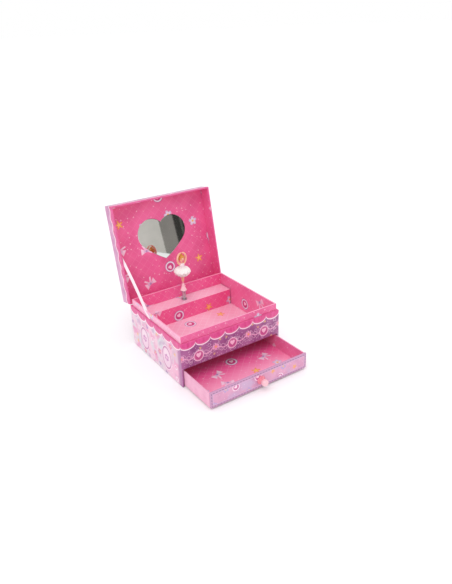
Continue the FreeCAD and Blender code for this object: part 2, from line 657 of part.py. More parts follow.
def make_bedplate():
    """The cast plate on the back wall, with two lugs that carry the upright arbors."""
    bed_x = (-BED_WIDTH / 2, BED_WIDTH / 2)
    plate = board(bed_x, (BED_FRONT_Y, BACK_INNER_Y), (BED_BOTTOM, BED_TOP))
    lug_x = (GOVERNOR_X - LUG_MARGIN, CYLINDER_ARBOR_RADIUS + LUG_MARGIN)
    lug_y = (SPINDLE_Y - CYLINDER_ARBOR_RADIUS - LUG_MARGIN, BED_FRONT_Y)
    lower = board(lug_x, lug_y, (LOWER_LUG_BOTTOM, LOWER_LUG_BOTTOM + LUG_THICK))
    upper = board(lug_x, lug_y, (UPPER_LUG_BOTTOM, UPPER_LUG_TOP))
    bed = joined([plate, lower, upper])
    height = STAGE_TOP
    bores = [
        rod(CYLINDER_ARBOR_RADIUS + RUNNING_CLEARANCE, Vector(0, SPINDLE_Y, 0), Z_AXIS, height),
        rod(GOVERNOR_ARBOR_RADIUS + RUNNING_CLEARANCE, Vector(GOVERNOR_X, SPINDLE_Y, 0), Z_AXIS, height),
        rod(ARBOR_RADIUS + RUNNING_CLEARANCE, Vector(0, BED_FRONT_Y, DRIVE_Z), Y_AXIS, BED_THICK),
        rod(WORM_SHAFT_RADIUS + RUNNING_CLEARANCE, Vector(WORM_X, BED_FRONT_Y, WORM_Z), Y_AXIS, BED_THICK),
    ]
    for place in bed_screw_places():
        start = Vector(place[0], BED_FRONT_Y, place[1])
        bores.append(rod(BED_SCREW_RADIUS + SCREW_HOLE_CLEARANCE, start, Y_AXIS, BED_THICK))
    for bore in bores:
        bed = bed.cut(bore)
    save("bedplate", bed)


def make_bed_screws():
    """Four pan-headed screws, put in from behind through the back wall into the bedplate."""
    profile = (
        (0, -WALL - BED_THICK),
        (BED_SCREW_RADIUS, -WALL - BED_THICK),
        (BED_SCREW_RADIUS, 0),
        (BED_SCREW_HEAD_RADIUS, 0),
        (BED_SCREW_HEAD_RADIUS, BED_SCREW_HEAD_RISE / 2),
        (BED_SCREW_RADIUS, BED_SCREW_HEAD_RISE),
        (0, BED_SCREW_HEAD_RISE),
    )
    seats = [Vector(x, HALF_DEPTH, z) for x, z in bed_screw_places()]
    save("bedplate_screws", Part.makeCompound([turned(profile, seat, Y_AXIS) for seat in seats]))


def make_spring_housing():
    """The mainspring's cup on the bedplate, its cap, and the spiral strip inside."""
    depth = BED_FRONT_Y - HOUSING_FRONT_Y
    seat = Vector(0, BED_FRONT_Y, DRIVE_Z)
    out = -Y_AXIS
    cup = rod(HOUSING_RADIUS, seat, out, depth)
    cup = cup.cut(rod(HOUSING_RADIUS - HOUSING_WALL, seat, out, depth))
    save("spring_housing", cup)
    mouth = seat + out * depth
    cap = rod(HOUSING_RADIUS, mouth, out, HOUSING_CAP_THICK)
    bore = rod(ARBOR_RADIUS + RUNNING_CLEARANCE, mouth, out, HOUSING_CAP_THICK)
    save("housing_cap", cap.cut(bore))
    strip_width = depth - 2 * SPRING_END_GAP
    strip = prism(spiral_outline(), Vector(0, 0, strip_width))
    save("mainspring", placed(strip, seat + out * SPRING_END_GAP, out))


def spiral_outline():
    """A flat strip wound in half-turn arcs, each a little wider than the last."""
    inner = ARBOR_RADIUS + SPRING_END_GAP
    outer = HOUSING_RADIUS - HOUSING_WALL - SPRING_END_GAP - SPRING_STRIP
    half_turns = int(2 * (outer - inner) / SPRING_PITCH)
    step = (outer - inner) / half_turns

    def side(offset):
        arcs = []
        x = -inner - offset
        for turn in range(half_turns):
            sign = 1 if turn % 2 == 0 else -1
            radius = inner + offset + (turn + 0.5) * step
            end = x + sign * 2 * radius
            middle = Vector((x + end) / 2, -sign * radius, 0)
            arcs.append(Part.Arc(Vector(x, 0, 0), middle, Vector(end, 0, 0)).toShape())
            x = end
        return arcs

    inside = side(0)
    outside = side(SPRING_STRIP)
    ends = []
    for first, second in ((inside[0].Vertexes[0], outside[0].Vertexes[0]),
                          (inside[-1].Vertexes[-1], outside[-1].Vertexes[-1])):
        ends.append(Part.LineSegment(first.Point, second.Point).toShape())
    return Part.Wire(Part.__sortEdges__(inside + outside + ends))


def comb_screw_places():
    middle = (DRUM_BOTTOM + DRUM_TOP) / 2
    spread = DRUM_LENGTH / 4
    x = COMB_ROOT_X + COMB_ROOT_LENGTH / 2
    return (Vector(x, COMB_BACK_Y, middle - spread), Vector(x, COMB_BACK_Y, middle + spread))


def make_comb():
    """The steel comb, its rest on the bedplate and the screws that hold it."""
    drum_z = (DRUM_BOTTOM, DRUM_TOP)
    comb_y = (COMB_BACK_Y - COMB_THICK, COMB_BACK_Y)
    comb = board((COMB_TIP_X, COMB_END_X), comb_y, drum_z)
    tooth = DRUM_LENGTH / COMB_TEETH
    for gap in range(1, COMB_TEETH):
        middle = DRUM_BOTTOM + gap * tooth
        slit_z = (middle - COMB_SLIT / 2, middle + COMB_SLIT / 2)
        comb = comb.cut(board((COMB_TIP_X, COMB_ROOT_X), comb_y, slit_z))
    rest = board((COMB_ROOT_X, COMB_END_X), (COMB_BACK_Y, BED_FRONT_Y), drum_z)
    screws = []
    for seat in comb_screw_places():
        hole_radius = COMB_SCREW_RADIUS + SCREW_HOLE_CLEARANCE
        comb = comb.cut(rod(hole_radius, seat, -Y_AXIS, COMB_THICK))
        rest = rest.cut(rod(hole_radius, seat, Y_AXIS, COMB_SCREW_DEPTH))
        top = seat - Y_AXIS * COMB_THICK
        head = rod(COMB_SCREW_HEAD_RADIUS, top, -Y_AXIS, COMB_SCREW_HEAD_THICK)
        shank = rod(COMB_SCREW_RADIUS, top, Y_AXIS, COMB_THICK + COMB_SCREW_DEPTH - SIDE_CLEARANCE)
        screws.append(joined([head, shank]))
    save("comb", comb)
    save("comb_rest", rest)
    save("comb_screws", Part.makeCompound(screws))


def make_governor_bracket():
    """An L-shaped bracket on the bedplate that carries the worm's front pivot."""
    half = BRACKET_WIDTH / 2
    z_span = (WORM_Z - half, WORM_Z + half)
    post_x = (BRACKET_POST_X - BRACKET_THICK, BRACKET_POST_X)
    post = board(post_x, (BRACKET_BACK_Y, BED_FRONT_Y), z_span)
    arm_x = (post_x[0], WORM_X + WORM_SHAFT_RADIUS + BRACKET_THICK)
    arm = board(arm_x, (BRACKET_FRONT_Y, BRACKET_BACK_Y), z_span)
    foot_x = (post_x[0] - BRACKET_FOOT, BRACKET_POST_X)
    foot = board(foot_x, (BED_FRONT_Y - BRACKET_THICK, BED_FRONT_Y), z_span)
    pivot_start = Vector(WORM_X, BRACKET_FRONT_Y, WORM_Z)
    pivot = rod(WORM_SHAFT_RADIUS + RUNNING_CLEARANCE, pivot_start, Y_AXIS, BRACKET_THICK)
    seat = Vector(post_x[0] - BRACKET_FOOT / 2, BED_FRONT_Y - BRACKET_THICK, WORM_Z)
    hole = rod(BRACKET_SCREW_RADIUS + SCREW_HOLE_CLEARANCE, seat, Y_AXIS, BRACKET_THICK)
    save("governor_bracket", joined([post, arm, foot]).cut(pivot).cut(hole))
    head = rod(BRACKET_SCREW_HEAD_RADIUS, seat, -Y_AXIS, BRACKET_SCREW_HEAD_THICK)
    shank = rod(BRACKET_SCREW_RADIUS, seat, Y_AXIS, BRACKET_THICK)
    save("governor_screw", joined([head, shank]))


# Movement: turning pieces

def make_drive():
    """The crown wheel, whose teeth point back at the upright pinion."""
    out = Vector(0, 1, 0)
    disc_front = CROWN_ROOT_Y - CROWN_DISC_THICK
    disc = rod(CROWN_RIM_RADIUS, Vector(0, disc_front, DRIVE_Z), out, CROWN_DISC_THICK)
    wheel = joined([disc] + [crown_tooth(tooth) for tooth in range(CROWN_TEETH)])
    bore = rod(ARBOR_RADIUS + RUNNING_CLEARANCE, Vector(0, disc_front, DRIVE_Z), out, CROWN_DISC_THICK)
    save("crown_wheel", wheel.cut(bore))


def crown_tooth(tooth):
    pitch = math.pi * CROWN_MODULE
    corners = ((CROWN_ROOT_Y, -TOOTH_ROOT_SHARE), (CROWN_TIP_Y, -TOOTH_TIP_SHARE),
               (CROWN_TIP_Y, TOOTH_TIP_SHARE), (CROWN_ROOT_Y, TOOTH_ROOT_SHARE))
    inner = DRIVE_Z + CROWN_RADIUS - CROWN_FACE / 2
    points = [Vector(share * pitch, y, inner) for y, share in corners]
    block = prism(Part.makePolygon(points + points[:1]), Vector(0, 0, CROWN_FACE - CROWN_RIM_SETBACK))
    return block.rotated(Vector(0, 0, DRIVE_Z), Y_AXIS, 360 * tooth / CROWN_TEETH)


def make_winding():
    """The winding arbor, from the crown wheel to the key behind the box."""
    front_y = CROWN_ROOT_Y - CROWN_DISC_THICK - SIDE_CLEARANCE
    key_start = HALF_DEPTH + KEY_STANDOFF
    key_end = key_start + KEY_HUB_LENGTH
    arbor = rod(ARBOR_RADIUS, Vector(0, front_y, DRIVE_Z), Y_AXIS, key_end - front_y)
    collar = rod(ARBOR_COLLAR_RADIUS, Vector(0, front_y, DRIVE_Z), -Y_AXIS, CROWN_DISC_THICK)
    save("winding_arbor", joined([arbor, collar]))
    save("winding_key", winding_key(key_start))


def winding_key(start_y):
    """A butterfly key: a hub with two pierced wings."""
    base = Vector(0, start_y, DRIVE_Z)
    wing_y = start_y + KEY_HUB_LENGTH
    pieces = [rod(KEY_HUB_RADIUS, base, Y_AXIS, KEY_HUB_LENGTH + KEY_WING_THICK)]
    holes = [rod(ARBOR_RADIUS, base, Y_AXIS, KEY_HUB_LENGTH)]
    for sign in (1, -1):
        centre = Vector(sign * KEY_WING_SPACING, wing_y, DRIVE_Z)
        pieces.append(rod(KEY_WING_RADIUS, centre, Y_AXIS, KEY_WING_THICK))
        holes.append(rod(KEY_WING_HOLE_RADIUS, centre, Y_AXIS, KEY_WING_THICK))
    key = joined(pieces)
    for hole in holes:
        key = key.cut(hole)
    return key


def make_cylinder():
    """The upright arbor with its pinion, gear, pinned drum and the cup above the stage."""
    arbor_top = CUP_TOP + CUP_BOSS_RISE
    base = Vector(0, SPINDLE_Y, PINION_BOTTOM)
    bore = rod(CYLINDER_ARBOR_RADIUS, base, Z_AXIS, arbor_top - PINION_BOTTOM)
    save("cylinder_arbor", rod(CYLINDER_ARBOR_RADIUS, base, Z_AXIS, CUP_TOP - PINION_BOTTOM))
    gap_angle = -90 + 180 / PINION_TEETH
    pinion = placed(spur_gear(PINION_TEETH, CROWN_MODULE, PINION_FACE, gap_angle), base, Z_AXIS)
    save("cylinder_pinion", pinion.cut(bore))
    gear = spur_gear(CYLINDER_TEETH, TRAIN_MODULE, GEAR_FACE, 180)
    save("cylinder_gear", placed(gear, Vector(0, SPINDLE_Y, CYLINDER_GEAR_BOTTOM), Z_AXIS).cut(bore))
    save("cylinder_drum", pinned_drum().cut(bore))
    cup = rod(CUP_RADIUS, Vector(0, SPINDLE_Y, CUP_BOTTOM), Z_AXIS, CUP_THICK)
    boss = rod(CUP_BOSS_RADIUS, Vector(0, SPINDLE_Y, CUP_BOTTOM), Z_AXIS, CUP_THICK + CUP_BOSS_RISE)
    hole = rod(CYLINDER_ARBOR_RADIUS, Vector(0, SPINDLE_Y, CUP_BOTTOM), Z_AXIS, CUP_THICK)
    save("spindle_cup", joined([cup, boss]).cut(hole))


def pinned_drum():
    """A brass tube with closed ends and a scatter of short pins in the comb's rows."""
    base = Vector(0, SPINDLE_Y, DRUM_BOTTOM)
    drum = rod(DRUM_RADIUS, base, Z_AXIS, DRUM_LENGTH)
    hollow = rod(DRUM_RADIUS - DRUM_WALL, base + Z_AXIS * DRUM_WALL, Z_AXIS, DRUM_LENGTH - 2 * DRUM_WALL)
    row_height = DRUM_LENGTH / COMB_TEETH
    pins = []
    for pin in range(DRUM_PINS_PER_TOOTH * COMB_TEETH):
        angle = math.radians(pin * DRUM_PIN_TURN)
        way = Vector(math.cos(angle), math.sin(angle), 0)
        level = Z_AXIS * (row_height * (pin % COMB_TEETH + 0.5))
        start = base + level + way * (DRUM_RADIUS - DRUM_WALL / 2)
        pins.append(rod(DRUM_PIN_RADIUS, start, way, DRUM_WALL / 2 + DRUM_PIN_RISE))
    return joined([drum.cut(hollow)] + pins)


def make_governor():
    """The governor's upright arbor with its pinion, and the worm wheel on it."""
    start = LOWER_LUG_BOTTOM
    base = Vector(GOVERNOR_X, SPINDLE_Y, start)
    arbor = rod(GOVERNOR_ARBOR_RADIUS, base, Z_AXIS, UPPER_LUG_TOP - start)
    pinion = spur_gear(GOVERNOR_TEETH, TRAIN_MODULE, GEAR_FACE, 180 / GOVERNOR_TEETH)
    pinion = placed(pinion, Vector(GOVERNOR_X, SPINDLE_Y, CYLINDER_GEAR_BOTTOM), Z_AXIS)
    save("governor_arbor", joined([arbor, pinion]))
    wheel = spur_gear(WORM_WHEEL_TEETH, TRAIN_MODULE, GEAR_FACE, 180)
    wheel = placed(wheel, Vector(GOVERNOR_X, SPINDLE_Y, WORM_Z - GEAR_FACE / 2), Z_AXIS)
    save("worm_wheel", wheel.cut(rod(GOVERNOR_ARBOR_RADIUS, base, Z_AXIS, UPPER_LUG_TOP - start)))


def make_fly():
    """The worm shaft, and the fly whose blades hold its speed down."""
    half_length = WORM_LENGTH / 2
    thread_edges = coil_edges(WORM_PITCH_RADIUS, WORM_PITCH, WORM_TURNS)
    report_least_gap("worm thread", thread_edges, WORM_WIRE_RADIUS, 2 * math.pi * WORM_PITCH_RADIUS)
    thread = placed(wire_tube(thread_edges, WORM_WIRE_RADIUS), Vector(), Y_AXIS)
    start = Vector(WORM_X, SPINDLE_Y - half_length, WORM_Z)
    thread.translate(start)
    margin = 2 * WORM_WIRE_RADIUS
    core = rod(WORM_CORE_RADIUS, start - Y_AXIS * margin, Y_AXIS, WORM_LENGTH + 2 * margin)
    shaft_start = Vector(WORM_X, BRACKET_FRONT_Y, WORM_Z)
    shaft = rod(WORM_SHAFT_RADIUS, shaft_start, Y_AXIS, BACK_INNER_Y - BRACKET_FRONT_Y)
    save("worm_shaft", joined([core, shaft, thread]))
    hub_base = Vector(WORM_X, FLY_START_Y, WORM_Z)
    hub = rod(WORM_CORE_RADIUS, hub_base, Y_AXIS, FLY_LENGTH)
    blade_x = (WORM_X - FLY_RADIUS, WORM_X + FLY_RADIUS)
    blade_z = (WORM_Z - FLY_BLADE_THICK / 2, WORM_Z + FLY_BLADE_THICK / 2)
    blades = board(blade_x, (FLY_START_Y, FLY_END_Y), blade_z)
    save("fly_blades", joined([hub, blades]).cut(rod(WORM_SHAFT_RADIUS, hub_base, Y_AXIS, FLY_LENGTH)))


# Pop-up spring and dancer

def make_popup():
    """The coil spring between the cup and the ferrule, its ends square to both."""
    foot = Vector(0, SPINDLE_Y, POPUP_COIL_BOTTOM)
    edges = [edge.translated(foot) for edge in coil_edges(POPUP_COIL_RADIUS, POPUP_PITCH, POPUP_TURNS)]
    first = helix_point(POPUP_COIL_RADIUS, POPUP_PITCH, 0) + foot
    first_way = helix_way(POPUP_COIL_RADIUS, POPUP_PITCH, 0)
    last = helix_point(POPUP_COIL_RADIUS, POPUP_PITCH, POPUP_TURNS) + foot
    last_way = helix_way(POPUP_COIL_RADIUS, POPUP_PITCH, POPUP_TURNS)
    rise = Z_AXIS * POPUP_BEND
    low = first - first_way * POPUP_BEND - rise
    high = last + last_way * POPUP_BEND + rise
    ground = Vector(low.x, low.y, CUP_TOP)
    ceiling = Vector(high.x, high.y, FERRULE_BOTTOM)
    edges = ([Part.LineSegment(ground, low).toShape()] + biarc(low, Z_AXIS, first, first_way) + edges
             + biarc(last, last_way, high, Z_AXIS) + [Part.LineSegment(high, ceiling).toShape()])
    report_least_gap("pop-up spring", edges, POPUP_WIRE_RADIUS, 2 * math.pi * POPUP_COIL_RADIUS)
    save("popup_spring", wire_tube(edges, POPUP_WIRE_RADIUS))
    base = Vector(0, SPINDLE_Y, FERRULE_BOTTOM)
    pin_height = FERRULE_THICK + FERRULE_PIN_LENGTH
    pieces = [
        rod(FERRULE_RADIUS, base, Z_AXIS, FERRULE_THICK),
        rod(FERRULE_PIN_RADIUS, base, Z_AXIS, pin_height),
    ]
    save("spring_ferrule", joined(pieces))


def make_dancer():
    base = Vector(0, SPINDLE_Y, 0)
    foot_profile = (
        (0, FOOT_BOTTOM),
        (FOOT_BASE_RADIUS, FOOT_BOTTOM),
        (FOOT_BASE_RADIUS, FOOT_BOTTOM + FERRULE_THICK),
        (FOOT_ANKLE_RADIUS, ANKLE_Z),
        (0, ANKLE_Z),
    )
    bore_depth = FERRULE_PIN_LENGTH + DANCER_LIFT
    bore = rod(FERRULE_PIN_RADIUS + RUNNING_CLEARANCE, base + Z_AXIS * FOOT_BOTTOM, Z_AXIS, bore_depth)
    save("dancer_foot", turned(foot_profile, base, Z_AXIS).cut(bore))
    save("dancer_figure", dancer_figure(base))
    save("dancer_tutu", dancer_tutu(base))


def dancer_figure(base):
    """Legs, bodice, head with a hair bun, and arms raised in an oval."""
    body_profile = (
        (0, ANKLE_Z),
        (FOOT_ANKLE_RADIUS, ANKLE_Z),
        (LEG_HIP_RADIUS, HIP_Z),
        (HIP_RADIUS, HIP_Z),
        (HIP_RADIUS, HIP_Z + BODICE_STRAIGHT),
        (BODICE_SHOULDER_RADIUS, SHOULDER_Z - BODICE_SHOULDER_RADIUS / 2),
        (NECK_RADIUS, SHOULDER_Z),
        (NECK_RADIUS, HEAD_Z),
        (0, HEAD_Z),
    )
    head = base + Z_AXIS * HEAD_Z
    bun = head + Vector(0, HEAD_RADIUS * BUN_BACK_SHARE, HEAD_RADIUS * BUN_RISE_SHARE)
    pieces = [
        turned(body_profile, base, Z_AXIS),
        Part.makeSphere(HEAD_RADIUS, head),
        Part.makeSphere(BUN_RADIUS, bun),
    ]
    pieces += [dancer_arm(base, sign) for sign in (1, -1)]
    return joined(pieces)


def dancer_arm(base, sign):
    """One arm, bowed out from the shoulder and in again to the hand over the head."""
    root_z = SHOULDER_Z - BODICE_SHOULDER_RADIUS / 2
    shoulder = base + Vector(sign * ARM_ROOT_REACH, 0, root_z)
    elbow = base + Vector(sign * ARM_ELBOW_REACH, 0, root_z + ARM_ELBOW_RISE)
    hand = base + Vector(sign * (ARM_RADIUS + ARM_HAND_GAP), 0, root_z + ARM_HAND_RISE)
    arm = wire_tube([Part.Arc(shoulder, elbow, hand).toShape()], ARM_RADIUS)
    return arm.fuse(Part.makeSphere(ARM_RADIUS, hand))


def dancer_tutu(base):
    """A full gathered skirt: folded rims lofted from the hem up to the waist."""
    rims = []
    for rise, width in TUTU_RIM_SHARES:
        radius = HIP_RADIUS + (TUTU_RADIUS - HIP_RADIUS) * width
        rims.append(folded_rim(base, TUTU_BOTTOM + TUTU_HEIGHT * rise, radius, TUTU_FOLD_DEPTH * width))
    skirt = Part.makeLoft(rims, True, True)
    waist = rod(HIP_RADIUS + TUTU_CLEARANCE, base + Z_AXIS * TUTU_BOTTOM, Z_AXIS, TUTU_HEIGHT)
    return skirt.cut(waist)


def folded_rim(base, level, radius, fold_depth):
    """A closed rim of outward arcs, one to each fold of the cloth."""
    def rim_point(share, distance):
        angle = 2 * math.pi * share / TUTU_FOLDS
        return base + Vector(distance * math.cos(angle), distance * math.sin(angle), level)

    arcs = []
    for fold in range(TUTU_FOLDS):
        valley = rim_point(fold, radius - fold_depth)
        peak = rim_point(fold + 0.5, radius)
        arcs.append(Part.Arc(valley, peak, rim_point(fold + 1, radius - fold_depth)).toShape())
    return Part.Wire(arcs)


make_case()
make_neck_and_stage()
make_lid()
make_hinge_cloth()
make_ribbon()
make_drawer()
make_bedplate()
make_bed_screws()
make_spring_housing()
make_comb()
make_governor_bracket()
make_drive()
make_winding()
make_cylinder()
make_governor()
make_fly()
make_popup()
make_dancer()
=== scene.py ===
"""Looks of a wind-up music box: printed paper boards, ribbon, mirror, spring and dancer."""
import json
import math

import bpy
from mathutils import Matrix, Vector


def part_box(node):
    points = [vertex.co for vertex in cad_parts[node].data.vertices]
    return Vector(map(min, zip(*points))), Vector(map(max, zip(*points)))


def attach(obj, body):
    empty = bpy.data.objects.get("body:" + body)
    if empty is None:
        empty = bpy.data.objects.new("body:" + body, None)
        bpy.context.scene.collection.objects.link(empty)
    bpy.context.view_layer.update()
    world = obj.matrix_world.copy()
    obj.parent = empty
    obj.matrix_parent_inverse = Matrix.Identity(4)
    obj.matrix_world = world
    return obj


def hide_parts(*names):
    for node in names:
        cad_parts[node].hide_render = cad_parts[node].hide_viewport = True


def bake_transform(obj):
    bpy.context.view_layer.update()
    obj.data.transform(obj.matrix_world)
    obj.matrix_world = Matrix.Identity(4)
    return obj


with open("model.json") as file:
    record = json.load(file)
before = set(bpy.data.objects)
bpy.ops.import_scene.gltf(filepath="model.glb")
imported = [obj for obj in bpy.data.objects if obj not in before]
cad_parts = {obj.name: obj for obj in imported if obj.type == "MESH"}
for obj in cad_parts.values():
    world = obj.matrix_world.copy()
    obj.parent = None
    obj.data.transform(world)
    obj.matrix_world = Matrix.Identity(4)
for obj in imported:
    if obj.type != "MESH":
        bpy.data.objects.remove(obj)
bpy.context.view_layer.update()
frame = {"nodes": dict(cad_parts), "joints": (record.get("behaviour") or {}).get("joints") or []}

MM = 0.001
PER_METRE = 1000.0
FULL_TURN = 2 * math.pi
X, Y, Z = range(3)

# The hinge, the turn that opens a shut lid to its rest place, and the dancer's spindle
JOINTS = {joint["name"]: joint for joint in frame["joints"]}
HINGE = Vector(JOINTS["lid_hinge"]["pos_m"])
OPEN_TURN = math.radians(JOINTS["lid_hinge"]["range_deg"][0])
LID_OPEN = Matrix.Translation(HINGE) @ Matrix.Rotation(OPEN_TURN, 4, "X") @ Matrix.Translation(-HINGE)
LID_SHUT = LID_OPEN.inverted()
SPINDLE_Y = JOINTS["dancer_spin"]["pos_m"][Y]

# Boards that are wrapped together
CASE_WALLS = ("case_left_wall", "case_right_wall", "case_back_wall", "case_front_fascia")
NECK_WALLS = ("neck_left", "neck_right", "neck_front", "neck_back")
LID_BOARDS = ("lid_panel", "lid_left_wall", "lid_right_wall", "lid_front_wall", "lid_back_wall")
DRAWER_BOARDS = ("drawer_left_wall", "drawer_right_wall", "drawer_back_wall", "drawer_bottom")

CORNER_RADIUS = 0.7 * MM
EDGE_RADIUS = 0.45 * MM
TRAY_EDGE = 0.3 * MM
LINING_EDGE = 0.2 * MM
MIRROR_EDGE = 0.45 * MM
GEM_EDGE = 0.9 * MM
KEY_HOLE = 4.0 * MM
SPINDLE_HOLE = 1.7 * MM
CUT_OVERRUN = 5 * MM
ROUND_STEPS = 64
MERGE_DISTANCE = 1e-6

# Lining print, in millimetres
LATTICE_PITCH = 12.0
LATTICE_LINE = 0.05
MOTIF_PITCH = 38.0
SPARKLE_PITCH = 8.5
BADGE_RADIUS = 6.6
BOW_SIZE = 8.2
FLOWER_SIZE = 6.6
STAR_SIZE = 6.2

# Case and lid prints, in millimetres
FRONT_SCALLOPS = 7
SIDE_SCALLOPS = 6
SCALLOP_DEPTH = 6.6
SCALLOP_LEVEL = 57.4
SCALLOP_EDGE = 1.6
LID_WAVE_PITCH = 18.75
LID_WAVE_LEVEL = 68.5
LID_WAVE_DEPTH = 1.6
STITCH_PITCH = 4.2
BORDER_WIDTH = 3.6
GARLAND_LEVEL = 38.4
GARLAND_SWAY = 2.6
FLOWER_PITCH = 25.0
LACE_PITCH = 6.25
MEDALLION_PITCH = 50.0
MEDALLION_RADIUS = 7.0
OVAL_PITCH = 60.0
OVAL_LEVEL = 25.0
OVAL_HEIGHT = 15.0
OVAL_SLIMNESS = 1.4
WREATH_FLOWERS = 14
WREATH_RADIUS = 33.0


# Working by hand

def deselect():
    bpy.ops.object.select_all(action="DESELECT")


def hold(piece):
    deselect()
    piece.select_set(True)
    bpy.context.view_layer.objects.active = piece


def settle(piece):
    """Puts a piece's place into its mesh."""
    hold(piece)
    bpy.ops.object.transform_apply(location=True, rotation=True, scale=True)
    return piece


def named(name):
    piece = bpy.context.object
    piece.name = name
    piece.data.name = name
    return piece


def add_object(name, data):
    piece = bpy.data.objects.new(name, data)
    bpy.context.scene.collection.objects.link(piece)
    return piece


def modify(piece, kind, **settings):
    hold(piece)
    modifier = piece.modifiers.new(kind, kind)
    for key, value in settings.items():
        setattr(modifier, key, value)
    bpy.ops.object.modifier_apply(modifier=modifier.name)
    return piece


def reshape(piece, *steps):
    """Runs edit-mode operators, each with its settings, on the whole mesh."""
    hold(piece)
    bpy.ops.object.mode_set(mode="EDIT")
    bpy.ops.mesh.select_all(action="SELECT")
    for operator, settings in steps:
        operator(**settings)
    bpy.ops.object.mode_set(mode="OBJECT")
    return piece


def smooth(piece, degrees):
    hold(piece)
    bpy.ops.object.shade_smooth_by_angle(angle=math.radians(degrees))
    return piece


def block(name, low, high):
    """A block between two corners, in metres."""
    low, high = Vector(low), Vector(high)
    deselect()
    bpy.ops.mesh.primitive_cube_add(size=1, location=(low + high) / 2)
    piece = named(name)
    piece.scale = high - low
    return settle(piece)


def drill(name, start, end, radius):
    """A round cutter from one point to another."""
    start, end = Vector(start), Vector(end)
    way = end - start
    deselect()
    bpy.ops.mesh.primitive_cylinder_add(vertices=48, radius=radius, depth=way.length,
                                        location=(start + end) / 2,
                                        rotation=way.to_track_quat("Z", "Y").to_euler())
    return settle(named(name))


def combine(piece, other, operation):
    modify(piece, "BOOLEAN", operation=operation, object=other, solver="EXACT")
    bpy.data.objects.remove(other)
    return piece


def carve(piece, cutter):
    return combine(piece, cutter, "DIFFERENCE")


def soften(piece, radius, segments=3):
    """Rounds the sharp edges, as a folded paper wrap is."""
    modify(piece, "BEVEL", width=radius, segments=segments, limit_method="ANGLE",
           angle_limit=math.radians(30), miter_outer="MITER_ARC")
    smooth(piece, 40)
    return modify(piece, "WEIGHTED_NORMAL", keep_sharp=True)


def copy_of(node, name):
    """A copy of a frame node's mesh as one joined surface with flat faces whole."""
    mesh = frame["nodes"][node].data.copy()
    mesh.name = name
    mesh.materials.clear()
    piece = add_object(name, mesh)
    hold(piece)
    bpy.ops.mesh.customdata_custom_splitnormals_clear()
    return reshape(piece, (bpy.ops.mesh.remove_doubles, {"threshold": MERGE_DISTANCE}),
                   (bpy.ops.mesh.dissolve_limited, {"angle_limit": math.radians(0.5)}))


def from_points(name, points, edges=(), faces=()):
    mesh = bpy.data.meshes.new(name)
    mesh.from_pydata(points, edges, faces)
    return add_object(name, mesh)


def turned(name, profile, foot, turn=(0, 0, 0)):
    """A round piece turned from (radius, height) points in millimetres, standing at foot."""
    points = [(radius * MM, 0, height * MM) for radius, height in profile]
    piece = from_points(name, points, [(i, i + 1) for i in range(len(points) - 1)])
    modify(piece, "SCREW", angle=FULL_TURN, steps=ROUND_STEPS, render_steps=ROUND_STEPS,
           use_merge_vertices=True, merge_threshold=MERGE_DISTANCE)
    reshape(piece, (bpy.ops.mesh.remove_doubles, {"threshold": MERGE_DISTANCE}),
            (bpy.ops.mesh.normals_make_consistent, {"inside": False}))
    piece.location = foot
    piece.rotation_euler = turn
    return smooth(settle(piece), 50)


def arc(middle, radius, start, end, count=8):
    """Profile points round a middle (radius, height), between two angles in degrees."""
    angles = [math.radians(start + (end - start) * i / count) for i in range(count + 1)]
    return [(middle[0] + radius * math.cos(a), middle[1] + radius * math.sin(a)) for a in angles]


def smooth_curve(name, points):
    """A NURBS curve with control points (x, y, z, radius), in metres."""
    curve = bpy.data.curves.new(name, "CURVE")
    curve.dimensions = "3D"
    curve.resolution_u = 12
    spline = curve.splines.new("NURBS")
    spline.points.add(len(points) - 1)
    for point, (x, y, z, radius) in zip(spline.points, points):
        point.co = (x, y, z, 1)
        point.radius = radius
    spline.order_u = 3
    spline.use_endpoint_u = True
    return add_object(name, curve)


def along(points):
    """The spots along a smooth curve with these control points."""
    piece = smooth_curve("route", [(*point, 1) for point in points])
    spots = [vertex.co.copy() for vertex in bpy.data.meshes.new_from_object(piece).vertices]
    bpy.data.objects.remove(piece)
    return spots


def limb(name, points, sides=6):
    """A smooth round limb through points (x, y, z, radius), in metres."""
    piece = smooth_curve(name, points)
    piece.data.bevel_depth = 1.0
    piece.data.bevel_resolution = sides
    piece.data.use_fill_caps = True
    hold(piece)
    bpy.ops.object.convert(target="MESH")
    return named(name)


def ball(name, middle, radii):
    deselect()
    bpy.ops.mesh.primitive_uv_sphere_add(segments=48, ring_count=24, radius=1, location=middle)
    piece = named(name)
    piece.scale = Vector(radii) * MM
    settle(piece)
    bpy.ops.object.shade_smooth()
    return piece


def melt(name, pieces, passes):
    """Joins pieces and melts them into one smooth skin."""
    deselect()
    for piece in pieces:
        piece.select_set(True)
    bpy.context.view_layer.objects.active = pieces[0]
    bpy.ops.object.join()
    skin = named(name)
    modify(skin, "REMESH", mode="VOXEL", voxel_size=0.2 * MM, use_smooth_shade=True)
    return modify(skin, "SMOOTH", factor=0.5, iterations=passes)


def corners(points):
    """The lowest and highest corners of a box round points."""
    return Vector(map(min, zip(*points))), Vector(map(max, zip(*points)))


def span(*nodes):
    return corners([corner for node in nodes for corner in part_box(node)])


def shut_span(*nodes):
    """The corners round lid nodes, as if the lid were shut."""
    return corners([LID_SHUT @ v.co for node in nodes for v in frame["nodes"][node].data.vertices])


def middle_of(node):
    low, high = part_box(node)
    return (low + high) / 2


def thickness(side_wall):
    low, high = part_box(side_wall)
    return high.x - low.x


def dress(piece, choose):
    """Papers each face by the axis it looks along, whether forward, whether inward, and its middle."""
    names = []
    for face in piece.data.polygons:
        sizes = [abs(share) for share in face.normal]
        axis = sizes.index(max(sizes))
        side = face.normal[axis]
        name = choose(axis, side > 0, face.center[axis] * side < 0, face.center)
        if name not in names:
            names.append(name)
            piece.data.materials.append(papers[name].material)
        face.material_index = names.index(name)


